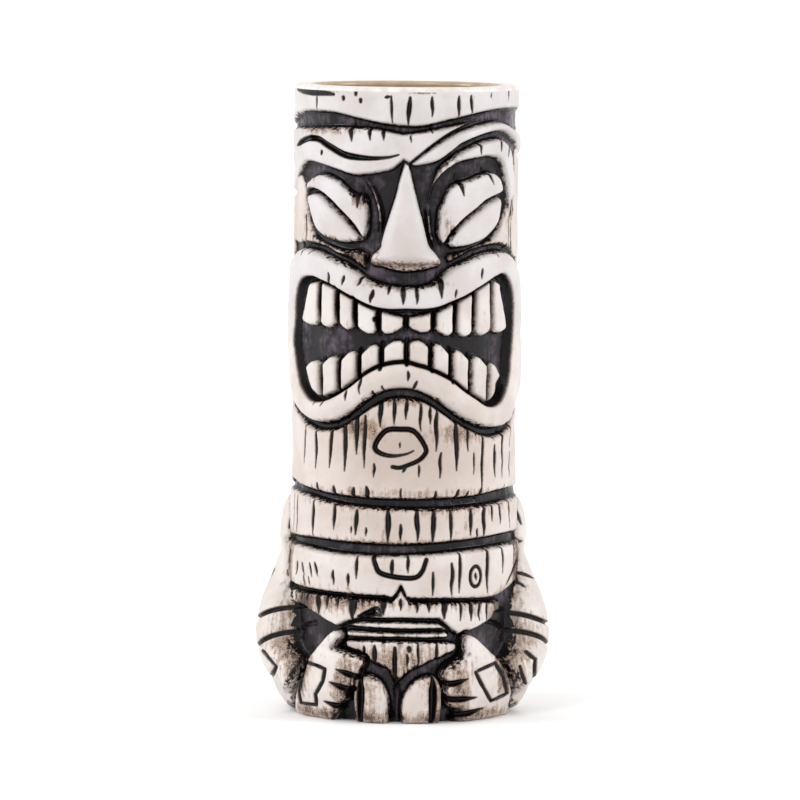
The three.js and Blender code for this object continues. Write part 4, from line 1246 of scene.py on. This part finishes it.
class Shader:
    """A material's nodes, with short calls for the ones used here."""

    def __init__(self, name):
        self.material = bpy.data.materials.new(name)
        self.material.use_nodes = True
        self.tree = self.material.node_tree
        self.surface = self.tree.nodes["Principled BSDF"]
        self.place = self.node("ShaderNodeTexCoord").outputs["Object"]

    def node(self, kind, **settings):
        made = self.tree.nodes.new(kind)
        for key, value in settings.items():
            setattr(made, key, value)
        return made

    def join(self, value, socket):
        if isinstance(value, bpy.types.NodeSocket):
            self.tree.links.new(value, socket)
        else:
            socket.default_value = value

    def attribute(self, name):
        return self.node("ShaderNodeAttribute", attribute_name=name).outputs["Fac"]

    def stretched(self, x, y, z):
        mapping = self.node("ShaderNodeMapping")
        self.join(self.place, mapping.inputs["Vector"])
        mapping.inputs["Scale"].default_value = (x, y, z)
        return mapping.outputs["Vector"]

    def noise(self, size_mm, detail=3.0, place=None, roughness=0.55):
        made = self.node("ShaderNodeTexNoise")
        self.join(self.place if place is None else place, made.inputs["Vector"])
        made.inputs["Scale"].default_value = 1 / (size_mm * MM)
        made.inputs["Detail"].default_value = detail
        made.inputs["Roughness"].default_value = roughness
        return made.outputs["Fac"]

    def maths(self, operation, a, b):
        made = self.node("ShaderNodeMath", operation=operation)
        self.join(a, made.inputs[0])
        self.join(b, made.inputs[1])
        return made.outputs["Value"]

    def total(self, first, *others):
        for value in others:
            first = self.maths("ADD", first, value)
        return first

    def spread(self, value, amount):
        """A noise value moved to swing evenly about zero."""
        return self.maths("MULTIPLY", self.maths("SUBTRACT", value, 0.5), amount)

    def step(self, value, low, high, to_low=0.0, to_high=1.0):
        made = self.node("ShaderNodeMapRange", interpolation_type="SMOOTHSTEP")
        self.join(value, made.inputs["Value"])
        for key, number in (("From Min", low), ("From Max", high), ("To Min", to_low), ("To Max", to_high)):
            made.inputs[key].default_value = number
        return made.outputs["Result"]

    def mix(self, factor, a, b):
        made = self.node("ShaderNodeMix", data_type="RGBA")
        self.join(factor, made.inputs[0])
        self.join(a, made.inputs[6])
        self.join(b, made.inputs[7])
        return made.outputs[2]

    def bump(self, height, distance_mm, strength=1.0):
        made = self.node("ShaderNodeBump")
        made.inputs["Distance"].default_value = distance_mm * MM
        made.inputs["Strength"].default_value = strength
        self.join(height, made.inputs["Height"])
        self.join(made.outputs["Normal"], self.surface.inputs["Normal"])


# The first black is the stain's own black, also laid darkest along groove edges as painted shade; the paler
# grey-purple below it is a painted sheen on wide groove floors.
STAIN_BLACK_AND_CREVICE_SHADE = (14, 11, 13)
STAIN_DEEP = (24, 20, 23)
STAIN_PAINTED_SHEEN = (92, 80, 92)
STAIN_BROWN = (60, 42, 33)
STAIN_THIN = (150, 122, 100)
STAIN_FAINT = (200, 184, 168)
BROWNING_AND_SHADE_GLAZE = (178, 161, 150)


def carved_ceramic(name, white, warm, dirt_and_shade_from, dirt_and_shade_to):
    """White glaze wiped over a near-black stain, which stays in every cut and bleeds brown at its edges.
    Painted sheen and painted shade are mixed in.
    """
    s = Shader(name)
    grit = s.noise(0.4, 3, roughness=0.7)
    fine = s.noise(1.6, 4, roughness=0.6)
    broad = s.noise(11.0, 3)
    streak = s.noise(1.0, 4, s.stretched(1, 1, 0.14))
    groove = s.attribute("groove")
    smudge_and_shade_amount = s.attribute("smudge_and_shade")

    # Black fills the grooves and the cuts, with a ragged edge, and bleeds brown round them.
    # The smear also widens the black where shade is painted under the nose and beside the arms.
    smear_and_shade = s.maths("MULTIPLY", smudge_and_shade_amount, s.step(streak, 0.4, 0.65, 0, 1.3))
    ragged = s.total(groove, s.spread(fine, 1.0), s.spread(grit, 0.5), smear_and_shade)
    crisp = s.total(s.attribute("line"), s.spread(grit, 0.3))
    dark = s.maths("MAXIMUM", s.step(ragged, -0.04, 0.1), s.step(crisp, -0.06, 0.08))
    bleed = s.maths("MAXIMUM", s.step(ragged, -0.42, 0.0), s.step(crisp, -0.34, 0.0))

    # The white is tinted in broad patches, browner in places, partly as painted shade, and dirty where it
    # was wiped less clean, with painted shade under the nose and beside the arms.
    wiped_and_shaded = s.total(s.attribute("halo"), smudge_and_shade_amount, s.spread(streak, 1.7), s.spread(fine, 1.2))
    dirt_and_shade = s.step(wiped_and_shaded, dirt_and_shade_from, dirt_and_shade_to)
    specks = s.step(s.total(wiped_and_shaded, s.spread(grit, 2.0)), dirt_and_shade_to, dirt_and_shade_to + 0.45, 0, 0.85)
    base = s.mix(s.step(broad, 0.3, 0.72), colour(*white), colour(*warm))
    # The browner glaze is partly painted shade on the nose and chin.
    base = s.mix(s.attribute("browning_and_shade"), base, colour(*BROWNING_AND_SHADE_GLAZE))
    base = s.mix(s.step(s.attribute("edge"), 0.05, 0.6, 0, 0.4), base, colour(*STAIN_FAINT))
    base = s.mix(s.maths("MULTIPLY", dirt_and_shade, 0.7), base, colour(*STAIN_THIN))
    base = s.mix(specks, base, colour(*STAIN_BROWN))
    base = s.mix(s.maths("MULTIPLY", bleed, 0.9), base, colour(*STAIN_BROWN))

    # Near a groove's edges, and in narrow cuts, the stain is black, darkest along the edges as painted
    # shade; out in the middle of a wide groove it carries a painted sheen, paler grey-purple in broad
    # patches.
    depth = s.total(groove, s.spread(streak, 1.6), s.spread(fine, 1.6))
    sheen = s.total(s.spread(broad, 2.6), s.spread(streak, 0.6), s.spread(fine, 1.0))
    painted_sheen_colour = s.mix(s.step(sheen, -0.2, 0.6), colour(*STAIN_DEEP), colour(*STAIN_PAINTED_SHEEN))
    stain_with_sheen = s.mix(s.step(depth, 0.6, 1.5), colour(*STAIN_BLACK_AND_CREVICE_SHADE), painted_sheen_colour)

    s.join(s.mix(dark, base, stain_with_sheen), s.surface.inputs["Base Color"])
    roughness = s.total(s.step(dark, 0.2, 0.8, 0.42, 0.2), s.spread(fine, 0.2))
    s.join(roughness, s.surface.inputs["Roughness"])
    s.surface.inputs["Specular IOR Level"].default_value = 0.22
    s.bump(s.total(s.maths("MULTIPLY", fine, 0.6), streak), 0.16, 0.9)
    return s.material


def speckled_glaze(name, first, second, size_mm, rough):
    """A plain glaze with soft mottling."""
    s = Shader(name)
    mottle = s.noise(size_mm, 4)
    specks = s.step(s.noise(0.8, 2), 0.66, 0.78)
    base = s.mix(s.step(mottle, 0.35, 0.68), colour(*first), colour(*second))
    base = s.mix(s.maths("MULTIPLY", specks, 0.35), base, colour(120, 96, 74))
    s.join(base, s.surface.inputs["Base Color"])
    s.join(s.step(mottle, 0.3, 0.7, rough, rough + 0.08), s.surface.inputs["Roughness"])
    s.bump(mottle, 0.05, 0.5)
    return s.material


white_ceramic = carved_ceramic("white_ceramic", (212, 207, 208), (200, 193, 190), 0.6, 1.08)
neck_ceramic = carved_ceramic("neck_ceramic", (214, 204, 199), (200, 187, 179), 0.5, 1.0)
limb_ceramic = carved_ceramic("limb_ceramic", (218, 211, 207), (203, 192, 185), 0.48, 0.98)
rim_glaze = speckled_glaze("rim_glaze", (228, 222, 219), (212, 202, 195), 3.0, 0.28)
tan_glaze = speckled_glaze("tan_glaze", (186, 166, 138), (172, 150, 121), 5.0, 0.12)
stained_body = speckled_glaze("stained_body", (44, 37, 40), (60, 50, 52), 4.0, 0.3)


# ---- Pieces ----

# Members whose name holds one of these words are made of that ceramic.
NECK_CERAMIC = ("cheek", "chin", "neck", "back")
LIMB_CERAMIC = ("arm", "hand", "foot", "belt", "belly", "loincloth", "lower_lip", "tooth", "collar")
RIM_INNER = 26.6
RIM_ROUND = 1.2  # radius of the rounded lip
GLAZE_LAP = 0.9  # how far the tan glaze laps over the lip


def add_piece(name, mesh, material):
    mesh.materials.append(material)
    piece = bpy.data.objects.new(f"look_{name}", mesh)
    bpy.context.scene.collection.objects.link(piece)
    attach(piece, "root")
    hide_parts(name)


def member_look(name):
    if any(word in name for word in NECK_CERAMIC):
        return neck_ceramic
    if any(word in name for word in LIMB_CERAMIC):
        return limb_ceramic
    return white_ceramic


def add_members():
    label = label_cells()
    normals = surface_normals()
    for index, name in enumerate(names):
        add_piece(name, member_mesh(name, label == index, normals), member_look(name))


def rim_outline():
    outer = grid.trunk[-1, 0] + 0.1
    top = [(outer, RIM_BASE)]
    for t in np.linspace(0, math.pi / 2, 7):
        top.append((outer - RIM_ROUND * (1 - math.cos(t)), HEIGHT - RIM_ROUND * (1 - math.sin(t))))
    for t in np.linspace(math.pi / 2, math.pi, 7):
        top.append((RIM_INNER + RIM_ROUND * (1 + math.cos(t)), HEIGHT - RIM_ROUND * (1 - math.sin(t))))
    return top + [(RIM_INNER, RIM_BASE)]


CUP_FLOOR = 6.0  # thickness of the cup's bottom
CUP_TOP = RIM_BASE - 0.05
CUP_OUTSIDE = PANEL_INNER_RADIUS - 0.02


def cup_outline():
    """The cup wall, up its outside and down into the bowl."""
    return [
        (0, 0), (CUP_OUTSIDE - 0.6, 0), (CUP_OUTSIDE, 0.6), (CUP_OUTSIDE, CUP_TOP),
        (CAVITY_RADIUS + 0.3, CUP_TOP), (CAVITY_RADIUS + 0.3, CUP_FLOOR + 6),
        (CAVITY_RADIUS - 1.2, CUP_FLOOR + 1.6), (CAVITY_RADIUS - 5, CUP_FLOOR), (0, CUP_FLOOR),
    ]


def liner_outline():
    """The glaze in the bowl, which lies 0.05 mm clear of the cup wall."""
    return [
        (0, CUP_FLOOR + 0.05), (CAVITY_RADIUS - 5, CUP_FLOOR + 0.05), (CAVITY_RADIUS - 1.3, CUP_FLOOR + 1.7),
        (CAVITY_RADIUS + 0.25, CUP_FLOOR + 6), (CAVITY_RADIUS + 0.25, CUP_TOP), (CAVITY_RADIUS, CUP_TOP),
        (CAVITY_RADIUS, CUP_FLOOR + 6.2), (CAVITY_RADIUS - 1.7, CUP_FLOOR + 2.2),
        (CAVITY_RADIUS - 5.2, CUP_FLOOR + 0.6), (0, CUP_FLOOR + 0.6),
    ]


def add_cup():
    add_piece("cup_wall", lathe_mesh("cup_wall", cup_outline()), stained_body)
    add_piece("interior_glaze", lathe_mesh("interior_glaze", liner_outline()), tan_glaze)
    rim = lathe_mesh("rim", rim_outline())
    add_piece("rim", rim, rim_glaze)
    rim.materials.append(tan_glaze)
    for face in rim.polygons:
        if math.hypot(face.center.x, face.center.y) < (RIM_INNER + GLAZE_LAP) * MM:
            face.material_index = 1


add_members()
add_cup()


# ---- Floor, light and camera ----

FLOOR_HALF = 30.0  # metres
FOCAL_LENGTH = 267.3  # mm
SENSOR_WIDTH = 36  # mm
CAMERA_DISTANCE = 1.7  # metres, as are the two below
CAMERA_HEIGHT = 0.238
CAMERA_ASIDE = -0.00123
CAMERA_DOWN = math.radians(5.002)
CAMERA_ROLL = math.radians(0.495)


def add_floor():
    mesh = bpy.data.meshes.new("floor")
    h = FLOOR_HALF
    mesh.from_pydata([(-h, -h, 0), (h, -h, 0), (h, h, 0), (-h, h, 0)], [], [(0, 1, 2, 3)])
    material = bpy.data.materials.new("floor")
    material.use_nodes = True
    surface = material.node_tree.nodes["Principled BSDF"]
    surface.inputs["Base Color"].default_value = (0.97, 0.97, 0.97, 1)
    surface.inputs["Roughness"].default_value = 0.8
    mesh.materials.append(material)
    floor = bpy.data.objects.new("floor", mesh)
    bpy.context.scene.collection.objects.link(floor)


def add_sun(name, azimuth, elevation, strength, softness):
    """A soft light. Azimuth 0 shines from the front of the mug, and 90 from the viewer's right."""
    light = bpy.data.lights.new(name, "SUN")
    light.energy = strength
    light.angle = math.radians(softness)
    lamp = bpy.data.objects.new(name, light)
    lamp.rotation_euler = (math.radians(90 - elevation), 0, math.radians(azimuth))
    bpy.context.scene.collection.objects.link(lamp)


def add_world():
    world = bpy.data.worlds.new("studio")
    world.use_nodes = True
    backdrop = world.node_tree.nodes["Background"]
    backdrop.inputs["Color"].default_value = (1, 1, 1, 1)
    backdrop.inputs["Strength"].default_value = 0.97
    bpy.context.scene.world = world


def add_camera():
    data = bpy.data.cameras.new("camera")
    data.lens = FOCAL_LENGTH
    data.sensor_width = SENSOR_WIDTH
    camera = bpy.data.objects.new("camera", data)
    camera.location = (CAMERA_ASIDE, -CAMERA_DISTANCE, CAMERA_HEIGHT)
    camera.rotation_mode = "QUATERNION"
    level = Quaternion((1, 0, 0), math.pi / 2 - CAMERA_DOWN)
    camera.rotation_quaternion = level @ Quaternion((0, 0, 1), CAMERA_ROLL)
    bpy.context.scene.collection.objects.link(camera)
    bpy.context.scene.camera = camera


add_floor()
add_world()
add_sun("key", azimuth=-35, elevation=50, strength=0.35, softness=20)
add_sun("side_left", azimuth=-80, elevation=24, strength=0.85, softness=25)
add_sun("side_right", azimuth=80, elevation=24, strength=0.85, softness=25)
add_camera()
bpy.context.scene.view_settings.view_transform = "Standard"
